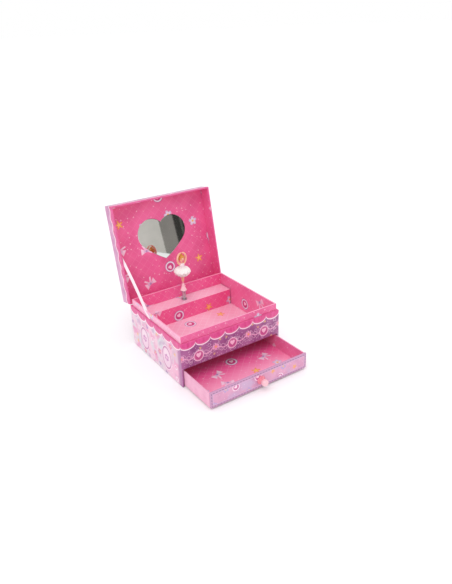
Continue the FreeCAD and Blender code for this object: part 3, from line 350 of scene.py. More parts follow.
def paint(piece, finish):
    piece.data.materials.clear()
    piece.data.materials.append(finish.material)
    return piece


def set_on(piece, body, slot, *nodes):
    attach(piece, body)
    if nodes:
        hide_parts(*nodes)


# Surface maths

def maths(operation):
    """A method of Shade that runs one maths node."""
    def method(self, *others):
        values = dict(enumerate((self, *others)))
        return self.finish.node("ShaderNodeMath", {"operation": operation}, values)
    return method


class Shade:
    """A number or vector that varies over a surface, with Python's arithmetic."""

    def __init__(self, finish, socket):
        self.finish = finish
        self.socket = socket

    __add__ = __radd__ = maths("ADD")
    __sub__ = maths("SUBTRACT")
    __mul__ = __rmul__ = maths("MULTIPLY")
    __truediv__ = maths("DIVIDE")
    __abs__ = maths("ABSOLUTE")
    __pow__ = maths("POWER")
    __gt__ = maths("GREATER_THAN")
    __lt__ = maths("LESS_THAN")
    sine = maths("SINE")
    cosine = maths("COSINE")
    bearing = maths("ARCTAN2")
    root = maths("SQRT")
    part = maths("FRACT")
    least = maths("MINIMUM")
    most = maths("MAXIMUM")

    def __rsub__(self, other):
        return self * -1 + other

    def fade(self, start, end):
        """A smooth step from 0 at start to 1 at end."""
        return self.finish.node("ShaderNodeMapRange", {"interpolation_type": "SMOOTHSTEP"},
                                {"Value": self, "From Min": start, "From Max": end})


def ink(code):
    """A screen colour such as e84a92, as the light that it throws back."""
    shares = [int(code[i:i + 2], 16) / 255 for i in (0, 2, 4)]
    light = [c / 12.92 if c <= 0.04045 else ((c + 0.055) / 1.055) ** 2.4 for c in shares]
    return (*light, 1.0)


class Finish:
    """One material: a Principled shader and the nodes that feed it."""

    def __init__(self, name, **constants):
        self.material = bpy.data.materials.new(name)
        self.material.use_nodes = True
        self.tree = self.material.node_tree
        self.shader = self.tree.nodes["Principled BSDF"]
        for key, value in constants.items():
            self.give(key.replace("_", " "), value)

    def node(self, kind, settings=None, sockets=None, output=0):
        node = self.tree.nodes.new(kind)
        for key, value in (settings or {}).items():
            setattr(node, key, value)
        for key, value in (sockets or {}).items():
            self.plug(node.inputs[key], value)
        return Shade(self, node.outputs[output])

    def plug(self, socket, value):
        """Feeds a socket with a Shade, an ink's code or a plain value."""
        if isinstance(value, Shade):
            self.tree.links.new(value.socket, socket)
        else:
            socket.default_value = ink(value) if isinstance(value, str) else value

    def give(self, socket, value):
        self.plug(self.shader.inputs[socket], value)

    def place(self, shut=False):
        """Object coordinates in millimetres; on the lid, as if it were shut."""
        spot = self.node("ShaderNodeTexCoord", output="Object")
        if shut:
            spot = self.node("ShaderNodeVectorRotate", {"rotation_type": "X_AXIS"},
                             {"Vector": spot, "Center": HINGE, "Angle": -OPEN_TURN})
        return self.node("ShaderNodeVectorMath", {"operation": "SCALE"},
                         {"Vector": spot, "Scale": PER_METRE})

    def axes(self, spot):
        split = self.node("ShaderNodeSeparateXYZ", sockets={"Vector": spot}).socket.node
        return [Shade(self, socket) for socket in split.outputs]

    def flat(self, s, t):
        return self.node("ShaderNodeCombineXYZ", sockets={"X": s, "Y": t})

    def noise(self, spot, size, detail=2.0, rough=0.5):
        """Soft cloudy noise from 0 to 1, with lumps of about size millimetres."""
        return self.node("ShaderNodeTexNoise", sockets={
            "Vector": spot, "Scale": 1 / size, "Detail": detail, "Roughness": rough})

    def mix(self, mask, under, over):
        return self.node("ShaderNodeMix", {"data_type": "RGBA"}, {0: mask, 6: under, 7: over}, output=2)

    def blend(self, mask, dark, light):
        """Two inks, clouded by a mask from 0 to 1."""
        return self.mix(mask.fade(0.3, 0.7), dark, light)

    def coat(self, mask, dark, light, uneven, gloss):
        """Clouds the colour and makes the gloss uneven by the same mask."""
        self.give("Base Color", self.blend(mask, dark, light))
        self.give("Roughness", mask * uneven + gloss)

    def relief(self, height, depth, strength):
        """Raised and sunk detail, depth in millimetres."""
        self.give("Normal", self.node("ShaderNodeBump", sockets={
            "Height": height, "Distance": depth * MM, "Strength": strength}))


# Motifs: masks round a middle, in millimetres

def away(x, y):
    return (x * x + y * y).root()


def within(distance, soft=0.25):
    """1 where a distance is below zero, with a soft edge."""
    return distance.fade(soft, -soft)


def stroke(distance, width, soft=0.25):
    """A line of some width along where a distance is zero."""
    return within(abs(distance) - width / 2, soft)


def disc(x, y, radius):
    return within(away(x, y) - radius)


def ring(x, y, radius, width):
    return stroke(away(x, y) - radius, width, 0.2)


def heart(x, y, size):
    side = abs(x) / size
    up = y * 1.15 / size - side.root() * 0.72 + 0.12
    return (side * side + up * up).fade(0.82, 0.66)


def petals(x, y, size, count, depth, sharp):
    """A rim that waves in and out, by a share of its size."""
    wave = abs((x.bearing(y) * (count / 2)).cosine()) ** sharp
    reach = (wave * depth + (1 - depth)) * size
    return within(away(x, y) - reach, 0.3)


def flower(x, y, size):
    return petals(x, y, size, 5, 0.5, 0.8)


def blossom(x, y, size):
    return petals(x, y, size, 6, 0.45, 0.7)


def star(x, y, size):
    return petals(x, y, size, 5, 0.62, 2.2)


def bow(x, y, size):
    side = abs(x)
    loops = within(abs(y) - side * 0.5 - size * 0.06) * within(side - size)
    tail = stroke(side - abs(y) * 0.6, size * 0.32, 0.2)
    tail = tail * within(y, 0.1) * (y + size * 1.05).fade(-0.1, 0.2)
    return loops.most(tail)


def in_row(s, pitch, offset=0.0):
    """The distance from the nearest middle in a row of motifs."""
    return ((s / pitch + offset).part() - 0.5) * pitch


class Print(Finish):
    """A surface printed ink over ink: s runs across the design and t up it, in millimetres."""

    def __init__(self, name, across, up, shut=False, **constants):
        super().__init__(name, **constants)
        self.spot = self.place(shut)
        self.sides = self.axes(self.spot)
        self.s = self.sides[across]
        self.t = self.sides[up]
        self.colour = None

    def ground(self, lump, dark, light, low=0.3, high=0.7, detail=3.0):
        """Two inks in soft clouds, which are handed back."""
        cloud = self.noise(self.spot, lump, detail)
        self.colour = self.mix(cloud.fade(low, high), dark, light)
        return cloud

    def patches(self, lump, across, up, detail=2.0):
        """Clouds that lie elsewhere than the ground's."""
        return self.noise(self.flat(self.s + across, self.t + up), lump, detail)

    def lay(self, mask, colour):
        self.colour = self.mix(mask, self.colour, colour)

    def stamp(self, x, y, *marks, here=1.0):
        """Marks round one middle, each given as a motif, its ink, its strength and its sizes."""
        for motif, code, strength, *sizes in marks:
            self.lay(motif(x, y, *sizes) * (here * strength), code)

    def cells(self, pitch, loose, shift=(0, 0)):
        """Scattered places: x and y from the nearest one, and two random numbers of its own."""
        s, t = self.s + shift[0], self.t + shift[1]
        spots = self.flat(s / pitch, t / pitch)
        cells = self.node("ShaderNodeTexVoronoi", {"voronoi_dimensions": "2D"}, {
            "Vector": spots, "Scale": 1.0, "Randomness": loose}).socket.node
        middle, chance = [self.axes(Shade(self, cells.outputs[key])) for key in ("Position", "Color")]
        return s - middle[X] * pitch, t - middle[Y] * pitch, chance[0], chance[1]

    def scatter(self, pitch, loose, *motifs, shift=(0, 0)):
        """Leaning motifs in scattered places, each with the range of chance that picks it and its marks."""
        x, y, pick, chance = self.cells(pitch, loose, shift)
        angle = (chance - 0.5) * 1.4
        lean, rise = angle.sine(), angle.cosine()
        x, y = x * rise - y * lean, x * lean + y * rise
        for low, high, *marks in motifs:
            self.stamp(x, y, *marks, here=(pick > low) * (pick < high))

    def sparkle(self, pitch, size, share, strength, code):
        x, y, pick, grow = self.cells(pitch, 1.0)
        reach = (grow * 0.7 + 0.5) * size
        cross = (abs(x) * abs(y) * 9.0 + away(x, y) * 0.6 - reach).fade(0.1, -0.25)
        self.lay(cross * (pick < share) * strength, code)

    def lattice(self, code):
        lines = []
        for way in (self.s + self.t, self.s - self.t):
            lines.append(0.5 - abs((way / LATTICE_PITCH).part() - 0.5))
        self.lay(lines[0].least(lines[1]).fade(LATTICE_LINE, LATTICE_LINE * 0.3) * 0.28, code)

    def frill(self, mask):
        """Hot pink with soft upright folds."""
        folds = self.noise(self.flat(self.s * 0.6, self.t * 0.12), 2.2)
        self.lay(mask, self.mix(folds.fade(0.25, 0.75), "d23a80", "e3589a"))

    def scallops(self, width, count):
        """A band of hanging scallops along the top."""
        across = (self.s * (count / width) + count / 2).part() * 2 - 1
        drop = (1 - across * across).most(0.0).root() * SCALLOP_DEPTH
        above = self.t - SCALLOP_LEVEL + drop
        self.frill(above.fade(-0.1, 0.1))
        self.lay(stroke(above, SCALLOP_EDGE), "fbe0ed")
        self.lay(stroke(above - 2.1, 0.4, 0.2) * 0.7, "f091bf")


# Prints

BADGE = [(disc, "cf3c83", 1, BADGE_RADIUS), (ring, "ecdcec", 1, BADGE_RADIUS, 1.9),
         (ring, "9a6c9c", 1, BADGE_RADIUS + 1.2, 0.55), (ring, "b287b4", 1, BADGE_RADIUS - 1.1, 0.35),
         (heart, "f7cfe2", 1, BADGE_RADIUS / 2)]
BOW = [(bow, "f5d3e6", 0.92, BOW_SIZE), (bow, "d5a3cb", 0.6, BOW_SIZE - 3.8), (disc, "b98cc0", 1, 1.7)]
FLOWER = [(flower, "cdbad8", 0.9, FLOWER_SIZE), (flower, "e6d6e8", 0.7, FLOWER_SIZE - 2.0),
          (disc, "f2b25c", 1, 1.7)]
STAR = [(star, "ee9638", 0.9, STAR_SIZE), (star, "f8c56c", 1, STAR_SIZE - 2.6)]


def lining_print(art, ground, deep, line="f6b3d0", shift=(0, 0), back=None):
    """Pink lattice with sparkles and scattered badges, bows, flowers and stars; with back, painted shade
    towards the back.
    """
    art.ground(40.0, deep, ground, detail=2.0)
    # Painted shade: a deeper ink faded in towards the back, where the drawer's floor lies in under the case
    if back:
        shade_ink, start, end = back
        art.lay(art.t.fade(start, end), shade_ink)
    art.lattice(line)
    art.sparkle(SPARKLE_PITCH, 1.3, 0.5, 0.75, "fde3f0")
    art.scatter(MOTIF_PITCH, 0.6, (0, 0.2, *BADGE), (0.2, 0.46, *BOW), (0.46, 0.62, *FLOWER),
                (0.62, 0.86, *STAR), shift=shift)


def purple_field(art):
    art.ground(16.0, "914c84", "ae689c", 0.32, 0.68)
    art.sparkle(3.6, 0.9, 0.6, 0.8, "ecd0e6")
    art.scatter(10.0, 0.9, (0.6, 1.0, (ring, "e3bfdc", 0.75, 1.9, 0.6)),
                (0, 0.3, (star, "ecc078", 0.85, 1.9)))


def front_print(art):
    """Purple starry field under a scalloped band, with a lace garland of medallions and flowers."""
    purple_field(art)
    sway = (art.s * (FULL_TURN / FLOWER_PITCH)).cosine() * GARLAND_SWAY + GARLAND_LEVEL
    for side in (-1, 1):
        x = in_row(art.s, LACE_PITCH, side * 0.25)
        art.stamp(x, art.t - sway + side * 2.4, (ring, "e9bcd9", 0.8, 2.5, 0.6))
    art.lay(stroke(art.t - sway, 1.1), "f0b4d4")
    art.stamp(in_row(art.s, FLOWER_PITCH, 0.5), art.t - GARLAND_LEVEL - 2.0,
              (blossom, "edaccd", 1, 4.8), (blossom, "dd6aa8", 0.7, 3.1), (disc, "f0b25a", 1, 1.4))
    art.stamp(in_row(art.s, MEDALLION_PITCH, 0.5), art.t - GARLAND_LEVEL + 1.4,
              (disc, "c4508f", 1, MEDALLION_RADIUS), (ring, "f7d3e6", 1, MEDALLION_RADIUS, 1.0),
              (ring, "f2a9cf", 0.8, MEDALLION_RADIUS - 1.3, 0.4),
              (heart, "f5c3dc", 1, MEDALLION_RADIUS - 3.0))
    art.scallops(CASE_WIDTH, FRONT_SCALLOPS)


def side_print(art):
    """Pale clouds of pink, white and lilac with two oval frames, flowers and a scalloped band."""
    front = -CASE_DEPTH / 2
    cloud = art.ground(24.0, "efc5d8", "d3d1d8", 0.4, 0.6)
    patch = art.patches(17.0, 90, 0)
    art.lay(patch.fade(0.5, 0.66) * 0.85, "e691bd")
    art.lay(patch.fade(0.46, 0.32) * 0.6, "bd93bd")
    art.lay(art.s.fade(-10.0, front) * 0.5, "ee97c2")
    art.sparkle(5.5, 1.0, 0.4, 0.85, "fbf0f6")
    art.scatter(15.0, 0.8, (0, 0.3, (flower, "dc6fa9", 0.85, 4.4), (disc, "efc47c", 1, 1.3)),
                (0.3, 0.48, (heart, "b184bb", 0.85, 3.4)), (0.48, 0.62, (ring, "f7eef4", 1, 3.0, 0.8)),
                (0.62, 0.76, (star, "eebb74", 1, 2.8)))
    x = in_row(art.s, OVAL_PITCH)
    y = art.t - OVAL_LEVEL
    slim = x * OVAL_SLIMNESS
    art.stamp(slim, y, (disc, "eccbde", 1, OVAL_HEIGHT))
    art.stamp(slim, y - 3.0, (disc, "f5e0eb", 0.6, OVAL_HEIGHT - 6.0))
    art.stamp(slim, y, (ring, "c77fae", 1, OVAL_HEIGHT, 2.2), (ring, "f6e2ee", 1, OVAL_HEIGHT + 2.0, 0.8))
    art.stamp(x, y, (blossom, "cf8fc0", 1, 5.6), (disc, "efc6da", 1, 1.8))
    corner = art.s - front + (cloud - 0.5) * 6.0
    art.lay(corner.fade(11.0, 4.0) * 0.9, "a9669c")
    # Painted shadow: a dark band along the bottom edge, standing in for contact shadow on the floor
    art.lay(art.t.fade(1.1, 0.5) * 0.6, "866488")
    art.scallops(CASE_DEPTH, SIDE_SCALLOPS)


def back_print(art):
    purple_field(art)
    art.scallops(CASE_WIDTH, FRONT_SCALLOPS)


def drawer_front_print(art, half_width, low, high):
    """Lilac pink with hearts in rings, flowers and stars, and a stitched border."""
    art.ground(22.0, "cc88b0", "e0a2c2")
    art.lay(art.patches(26.0, -40, 30).fade(0.52, 0.68) * 0.6, "c3b2d4")
    art.sparkle(5.0, 0.9, 0.45, 0.7, "f8e2ee")
    art.scatter(17.0, 0.7,
                (0, 0.36, (disc, "cf6ca4", 1, 4.6), (ring, "f6dcea", 1, 4.6, 1.1),
                 (heart, "f8d5e5", 1, 2.5)),
                (0.36, 0.6, (flower, "b9a0cf", 0.85, 4.4), (disc, "f0b872", 1, 1.3)),
                (0.6, 0.8, (star, "f0a95c", 0.9, 3.6)), shift=(6.0, 0))
    inset = (half_width - abs(art.s)).least(art.t - low).least(high - art.t)
    art.lay(within(inset - BORDER_WIDTH, 0.15), "c793b8")
    art.lay(stroke(inset - BORDER_WIDTH, 0.5, 0.15), "dcb6d6")
    stitch = ((art.s + art.t) / STITCH_PITCH).part().fade(0.62, 0.5)
    art.lay(stitch * stroke(inset - BORDER_WIDTH / 2, 0.9, 0.15) * 0.8, "72557f")


def lid_top_print(art, half_width, half_depth):
    """Pale pink, clouded lilac towards the edges, with a round wreath of flowers and a bow."""
    s, t = art.s, art.t
    cloud = art.noise(art.spot, 20.0, 3.0)
    rim = (half_width - abs(s)).least(half_depth - abs(t)) + (cloud - 0.5) * 26.0
    art.colour = art.mix(rim.fade(16.0, 0.0), "f8d3e2", "bd7bae")
    art.lay(art.patches(14.0, 0, 70, 3.0).fade(0.52, 0.7) * 0.5, "f3b9d6")
    art.sparkle(6.0, 0.8, 0.3, 0.8, "fffafc")
    beyond = away(s, t) - WREATH_RADIUS
    art.lay(within(beyond, 6.0), art.mix(cloud.fade(0.35, 0.65), "f4dcea", "d3b4d6"))
    art.stamp(s, t, (ring, "b288bb", 1, WREATH_RADIUS, 1.4))
    around = s.bearing(t) * (WREATH_FLOWERS / FULL_TURN)
    beside = (around.part() - 0.5) * (FULL_TURN * WREATH_RADIUS / WREATH_FLOWERS)
    art.stamp(beside, beyond, (flower, "ea74ae", 1, 6.2), (flower, "f6a9cd", 1, 4.4),
              (disc, "fdeaf4", 1, 1.5))
    art.stamp(s, t, (bow, "ee8fc0", 0.7, 13.0), (disc, "dd6aa8", 1, 2.8))


def lid_side_print(art, lilac):
    """Lilac above a white wavy line, hot pink under it."""
    art.ground(14.0, lilac, "d99cc3")
    wave = (art.s * (FULL_TURN / LID_WAVE_PITCH)).sine() * LID_WAVE_DEPTH
    above = art.t - LID_WAVE_LEVEL - wave
    art.frill(within(above, 0.1))
    art.lay(stroke(above, SCALLOP_EDGE), "fdeaf3")


def as_paper(finish, spot, colour):
    """Printed and varnished paper: faint fibres, slightly uneven gloss."""
    fibre = finish.noise(spot, 0.7, 4.0, 0.6)
    finish.give("Base Color", colour)
    finish.give("Roughness", fibre * 0.2 + 0.3)
    finish.relief(fibre, 0.03, 0.35)
    return finish


def printed(name, design, across, up, shut=False, **values):
    """A printed paper whose design runs along two of the axes."""
    art = Print(name, across, up, shut, Coat_Weight=0.2, Coat_Roughness=0.25)
    design(art, **values)
    return as_paper(art, art.spot, art.colour)


def plain_paper(name, light, dark, shut=False):
    finish = Finish(name, Coat_Weight=0.15, Coat_Roughness=0.3)
    spot = finish.place(shut)
    return as_paper(finish, spot, finish.blend(finish.noise(spot, 9.0, 3.0), dark, light))


def lining(name, across, up, inks, shut=False, **values):
    return printed(name, lining_print, across, up, shut, **inks, **values)


case_low, case_high = span(*CASE_WALLS)
CASE_WIDTH = (case_high.x - case_low.x) / MM
CASE_DEPTH = (case_high.y - case_low.y) / MM
drawer_low, drawer_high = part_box("drawer_front")
DRAWER_ROOM = drawer_high.y / MM
lid_low, lid_high = shut_span(*LID_BOARDS)

HOT = {"ground": "f468a1", "deep": "ec5793"}
# Painted shade: the lid's lining is the case's lining paper inked darker, as it lies in shade
SHADED_LID_LINING = {"ground": "ee639c", "deep": "de4e89", "line": "f193bc"}
# Painted shade: the lid's inner walls take a deeper copy of the lining paper
SHADED_LID_WALLS = {"ground": "f068a1", "deep": "e85b95", "line": "f79fc5"}
LIGHT = {"ground": "f8bcd3", "deep": "f2aac6", "line": "ffffff"}
SIDE = {"ground": "f57fb0", "deep": "ee70a5", "line": "fbb6d3"}
# Painted light: the neck's outer sides are the same hot pink paper as its front, inked paler as if lit
LIT_NECK_SIDE = {"ground": "f6b3cf", "deep": "f1a4c4", "line": "fff0f6"}
NECK = {"ground": "e9669d", "deep": "e15a92", "line": "f5a9ca"}
# The drawer floor's back entry is painted shade: deeper pink from 18 to 62 mm behind the drawer front
DRAWER = {"ground": "fda8c9", "deep": "f99bc0", "line": "fbc4db",
          "back": ("f4589a", DRAWER_ROOM + 18, DRAWER_ROOM + 62)}

papers = {
    "front": printed("front_paper", front_print, X, Z),
    "side": printed("side_paper", side_print, Y, Z),
    "back": printed("back_paper", back_print, X, Z),
    "edge": plain_paper("edge_paper", "e0629a", "d8568f"),
    "bay": plain_paper("bay_paper", "c2386f", "b52f64"),
    "board": plain_paper("bare_board", "93465f", "833a52"),
    # Painted highlight: the neck's top edges are inked pale pink in place of its hot pink paper
    "lit_neck_rim": plain_paper("neck_rim_paper", "f6acca", "f09dbf"),
    "lit_neck_side": lining("neck_side_paper", Y, Z, LIT_NECK_SIDE, shift=(3, 16)),
    "neck_front": lining("neck_front_paper", X, Z, NECK, shift=(8, 30)),
    "lining_x": lining("lining_across", X, Z, HOT, shift=(20, 5)),
    "lining_y": lining("lining_along", Y, Z, SIDE),
    "floor": lining("tray_floor_paper", X, Y, LIGHT, shift=(13, 21)),
    "drawer_floor": lining("drawer_floor_paper", X, Y, DRAWER),
    "drawer_side": plain_paper("drawer_side_paper", "efb0cc", "e8a3c2"),
    "drawer_front": printed("drawer_front_paper", drawer_front_print, X, Z,
                            half_width=drawer_high.x / MM, low=drawer_low.z / MM, high=drawer_high.z / MM),
    "lid_top": printed("lid_top_paper", lid_top_print, X, Y, True,
                       half_width=lid_high.x / MM, half_depth=lid_high.y / MM),
    "lid_side": printed("lid_side_paper", lid_side_print, Y, Z, True, lilac="c47fae"),
    "lid_front": printed("lid_front_paper", lid_side_print, X, Z, True, lilac="b873a4"),
    "lid_edge": plain_paper("lid_edge_paper", "e4679f", "dc5a94", True),
    "lid_lining": lining("lid_lining_paper", X, Y, SHADED_LID_LINING, True, shift=(0, 6)),
    "lid_inside_x": lining("lid_inside_across", X, Z, SHADED_LID_WALLS, True),
    "lid_inside_y": lining("lid_inside_along", Y, Z, SHADED_LID_WALLS, True),
}


# Boards

def make_case_wrap():
    """The four outer walls as one wrapped shell with the drawer's mouth."""
    wall = thickness("case_left_wall")
    inner_low = case_low + Vector((wall, wall, -CUT_OVERRUN))
    inner_high = case_high + Vector((-wall, -wall, CUT_OVERRUN))
    wrap = block("case_wrap", case_low, case_high)
    carve(wrap, block("room", inner_low, inner_high))
    mouth_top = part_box("case_front_fascia")[0].z
    carve(wrap, block("mouth", (inner_low.x, case_low.y - CUT_OVERRUN, case_low.z - CUT_OVERRUN),
                      (inner_high.x, inner_low.y + CUT_OVERRUN, mouth_top)))
    arbor = middle_of("winding_arbor")
    carve(wrap, drill("key_hole", (arbor.x, inner_high.y - CUT_OVERRUN, arbor.z),
                      (arbor.x, case_high.y + CUT_OVERRUN, arbor.z), KEY_HOLE))
    soften(wrap, CORNER_RADIUS)

    def choose(axis, forward, inward, spot):
        if axis == Z:
            return "edge"
        if inward and all(inner_low[i] - MM < spot[i] < inner_high[i] + MM for i in (X, Y)):
            return "bay"
        if axis == X:
            return "side"
        return "back" if forward else "front"

    dress(wrap, choose)
    set_on(wrap, "case", "case_paper", *CASE_WALLS)


def make_neck():
    """The inner neck that stands up into the lid."""
    low, high = span(*NECK_WALLS)
    wall = thickness("neck_left")
    neck = block("neck_wrap", low, high)
    carve(neck, block("room", low + Vector((wall, wall, -CUT_OVERRUN)),
                      high + Vector((-wall, -wall, CUT_OVERRUN))))
    back_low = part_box("neck_back")[0]
    carve(neck, block("under_back", (low.x + wall, back_low.y - CUT_OVERRUN, low.z - CUT_OVERRUN),
                      (high.x - wall, high.y + CUT_OVERRUN, back_low.z)))
    soften(neck, EDGE_RADIUS)

    def choose(axis, forward, inward, spot):
        if axis == Z:
            return "lit_neck_rim"
        if axis == X:
            # The neck's outer sides take the paler, painted-light copy of its paper
            return "lining_y" if inward else "lit_neck_side"
        return "lining_x" if inward else "neck_front"

    dress(neck, choose)
    set_on(neck, "case", "lining_paper", *NECK_WALLS)


def make_stage():
    """The raised stage: a top board and a front board wrapped as one, bare inside."""
    stage = block("stage_wrap", *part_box("stage_top"))
    combine(stage, block("front", *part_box("stage_front")), "UNION")
    cup = middle_of("spindle_cup")
    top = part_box("stage_top")[1].z
    carve(stage, drill("spindle_hole", (cup.x, cup.y, top - CUT_OVERRUN),
                       (cup.x, cup.y, top + CUT_OVERRUN), SPINDLE_HOLE))
    soften(stage, EDGE_RADIUS)

    def choose(axis, forward, inward, spot):
        if axis == Z and forward:
            return "floor"
        return "lining_x" if axis == Y and not forward else "board"

    dress(stage, choose)
    set_on(stage, "case", "lining_paper", "stage_top", "stage_front")


def make_tray():
    """The tray's floor board, papered on top and bare underneath."""
    tray = soften(block("tray_board", *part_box("tray_floor")), TRAY_EDGE, 2)
    upper = middle_of("tray_floor").z + LINING_EDGE

    def choose(axis, forward, inward, spot):
        return "floor" if spot.z > upper else "board"

    dress(tray, choose)
    set_on(tray, "case", "lining_paper", "tray_floor")


def make_lid_wrap():
    """The lid's panel and four walls as one wrapped tray, made shut and then swung open."""
    wall = thickness("lid_left_wall")
    ceiling = shut_span("lid_panel")[0].z
    lid = block("lid_wrap", lid_low, lid_high)
    carve(lid, block("room", lid_low + Vector((wall, wall, -CUT_OVERRUN)),
                     (lid_high.x - wall, lid_high.y - wall, ceiling)))
    soften(lid, CORNER_RADIUS)

    def choose(axis, forward, inward, spot):
        if axis == Z:
            if forward:
                return "lid_top"
            return "lid_edge" if spot.z < lid_low.z + MM else "lid_lining"
        if axis == X:
            return "lid_inside_y" if inward else "lid_side"
        return "lid_inside_x" if inward else "lid_front"

    dress(lid, choose)
    lid.matrix_world = LID_OPEN
    set_on(settle(lid), "lid", "lid_paper", *LID_BOARDS)
    board = soften(copy_of("lid_lining", "lid_lining_board"), LINING_EDGE, 2)
    set_on(paint(board, papers["lid_lining"]), "lid", "lining_paper", "lid_lining")


def make_drawer():
    front = soften(block("drawer_front_board", drawer_low, drawer_high), CORNER_RADIUS)

    def choose_front(axis, forward, inward, spot):
        return "lining_x" if axis == Y and forward else "drawer_front"

    dress(front, choose_front)
    set_on(front, "drawer", "drawer_front_paper", "drawer_front")
    low, high = span(*DRAWER_BOARDS)
    wall = thickness("drawer_left_wall")
    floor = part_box("drawer_bottom")[1].z
    tray = block("drawer_tray", low, high)
    carve(tray, block("room", (low.x + wall, low.y - CUT_OVERRUN, floor),
                      (high.x - wall, high.y - wall, high.z + CUT_OVERRUN)))
    soften(tray, EDGE_RADIUS)

    def choose(axis, forward, inward, spot):
        if axis == Z:
            on_floor = forward and abs(spot.z - floor) < EDGE_RADIUS
            return "drawer_floor" if on_floor else "drawer_side"
        if axis == X:
            return "lining_y" if inward else "drawer_side"
        return "drawer_side" if forward else "lining_x"

    dress(tray, choose)
    set_on(tray, "drawer", "drawer_paper", *DRAWER_BOARDS)


# Trim

def make_mirror():
    glass = Finish("mirror_glass", Metallic=1.0, IOR=1.5)
    haze = glass.noise(glass.place(True), 30.0, 3.0)
    glass.coat(haze, "d9dcdb", "e6e8e8", 0.03, 0.015)
    mirror = soften(copy_of("heart_mirror", "mirror_heart"), MIRROR_EDGE, 2)
    set_on(paint(mirror, glass), "lid", "mirror", "heart_mirror")


def make_gem():
    red = Finish("gem_red", IOR=1.4, Coat_Weight=0.3, Coat_Roughness=0.05)
    depth = red.noise(red.place(True), 3.0, 2.0)
    red.coat(depth, "96103f", "cf1f5d", 0.06, 0.04)
    gem = soften(copy_of("heart_gem", "gem_heart"), GEM_EDGE, 4)
    set_on(paint(gem, red), "lid", "gem", "heart_gem")


def moulded(name, light, dark, gloss):
    """Moulded plastic: a faint flow in the colour and an orange-peel skin."""
    finish = Finish(name, IOR=1.47)
    spot = finish.place()
    finish.coat(finish.noise(spot, 4.0, 3.0), dark, light, 0.12, gloss)
    finish.relief(finish.noise(spot, 0.6, 2.0), 0.02, 0.4)
    return finish


# Knob, in millimetres
KNOB_COLLAR = 5.6
KNOB_COLLAR_LENGTH = 2.2
KNOB_LIP = 0.9
KNOB_STEM = 2.7
KNOB_STEM_END = 4.1
KNOB_BALL = 4.5


def make_knob():
    """A round pull: flared coral collar, waisted stem and pale ball."""
    low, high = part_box("drawer_knob")
    middle = middle_of("drawer_knob")
    seat = Vector((middle.x, high.y, middle.z))
    facing = (math.pi / 2, 0, 0)
    collar = arc((KNOB_COLLAR - KNOB_LIP, KNOB_LIP), KNOB_LIP, -30, 80, 8)
    dish = arc((KNOB_COLLAR - 1.6, KNOB_COLLAR_LENGTH + 1.1), 1.5, 240, 180, 6)
    waist = [(KNOB_STEM, KNOB_STEM_END - 0.5), (KNOB_STEM + 0.2, KNOB_STEM_END + 0.1)]
    stem_profile = [(0, 0), (KNOB_COLLAR - 0.2, 0)] + collar + dish + waist + [(0, KNOB_STEM_END + 0.1)]
    head = arc((0, (high.y - low.y) / MM - KNOB_BALL), KNOB_BALL, -53, 90, 24)
    stem = turned("knob_stem", stem_profile, seat, facing)
    knob = turned("knob_ball", [(0, head[0][1])] + head, seat, facing)
    set_on(paint(stem, moulded("knob_coral", "f08fa2", "e97d94", 0.2)), "drawer", "knob_plastic")
    set_on(paint(knob, moulded("knob_pale_pink", "f6c6cf", "efb2bf", 0.18)), "drawer", "knob_plastic",
           "drawer_knob")


def woven(name, light, dark, warp_axis, weft_axis, pitch):
    """Woven ribbon or cloth: fine crossing threads with a soft sheen."""
    finish = Finish(name, Sheen_Weight=0.35, Sheen_Roughness=0.4, Roughness=0.55)
    axes = finish.axes(finish.place())
    warp = (axes[warp_axis] * (FULL_TURN / pitch)).sine()
    weft = (axes[weft_axis] * (FULL_TURN / pitch)).sine()
    thread = warp * weft * 0.5 + 0.5
    finish.give("Base Color", finish.mix(thread, dark, light))
    finish.relief(thread, 0.06, 0.6)
    return finish


def band(name, line, half, thick):
    """A flat band along a line of (middle, across) pairs, each across a unit vector."""
    points = []
    for middle, across in line:
        points += [middle - across * half, middle, middle + across * half]
    faces = []
    for i in range(len(line) - 1):
        for a in (3 * i, 3 * i + 1):
            faces.append((a, a + 1, a + 4, a + 3))
    piece = from_points(name, points, faces=faces)
    modify(piece, "SOLIDIFY", thickness=thick, offset=0)
    modify(piece, "SUBSURF", levels=1, render_levels=1)
    return smooth(piece, 60)


# Ribbon: its foot at the case's rim and its top on the lid's wall
RIBBON_WIDTH = 6.4 * MM
RIBBON_THICK = 0.3 * MM
RIBBON_FOOT_Y, RIBBON_FOOT_Z = 15 * MM, 60 * MM
RIBBON_TOP_Y, RIBBON_TOP_Z = 85.7 * MM, 124.8 * MM
RIBBON_TUCK = 1.0 * MM
RIBBON_SAG = 1.1 * MM
RIBBON_TWIST = math.radians(14)


def make_ribbon():
    """The satin stay from the case's left rim up to the lid."""
    x = middle_of("lid_ribbon").x
    foot = Vector((x, RIBBON_FOOT_Y, RIBBON_FOOT_Z))
    top = Vector((x, RIBBON_TOP_Y, RIBBON_TOP_Z))
    way = (top - foot).normalized()
    across = Vector((0, way.z, -way.y))
    sag = Vector((RIBBON_SAG, 0, 0))
    start = foot - way * RIBBON_TUCK
    path = along([start, start.lerp(top, 0.3) + sag, start.lerp(top, 0.7) + sag, top])
    line = []
    for i, spot in enumerate(path):
        twist = min(1.0, 3 * math.sin(i / (len(path) - 1) * math.pi)) * RIBBON_TWIST
        line.append((spot, Matrix.Rotation(twist, 3, way) @ across))
    ribbon = band("lid_stay", line, RIBBON_WIDTH / 2, RIBBON_THICK)
    paint(ribbon, woven("ribbon_satin", "fdeef4", "f5dae6", Y, Z, 0.55))
    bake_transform(ribbon)
    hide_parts("lid_ribbon")


CLOTH_LEG = 11 * MM
CLOTH_THICK = 0.35 * MM
CLOTH_GAP = 0.25 * MM
CLOTH_BEND = 0.9 * MM


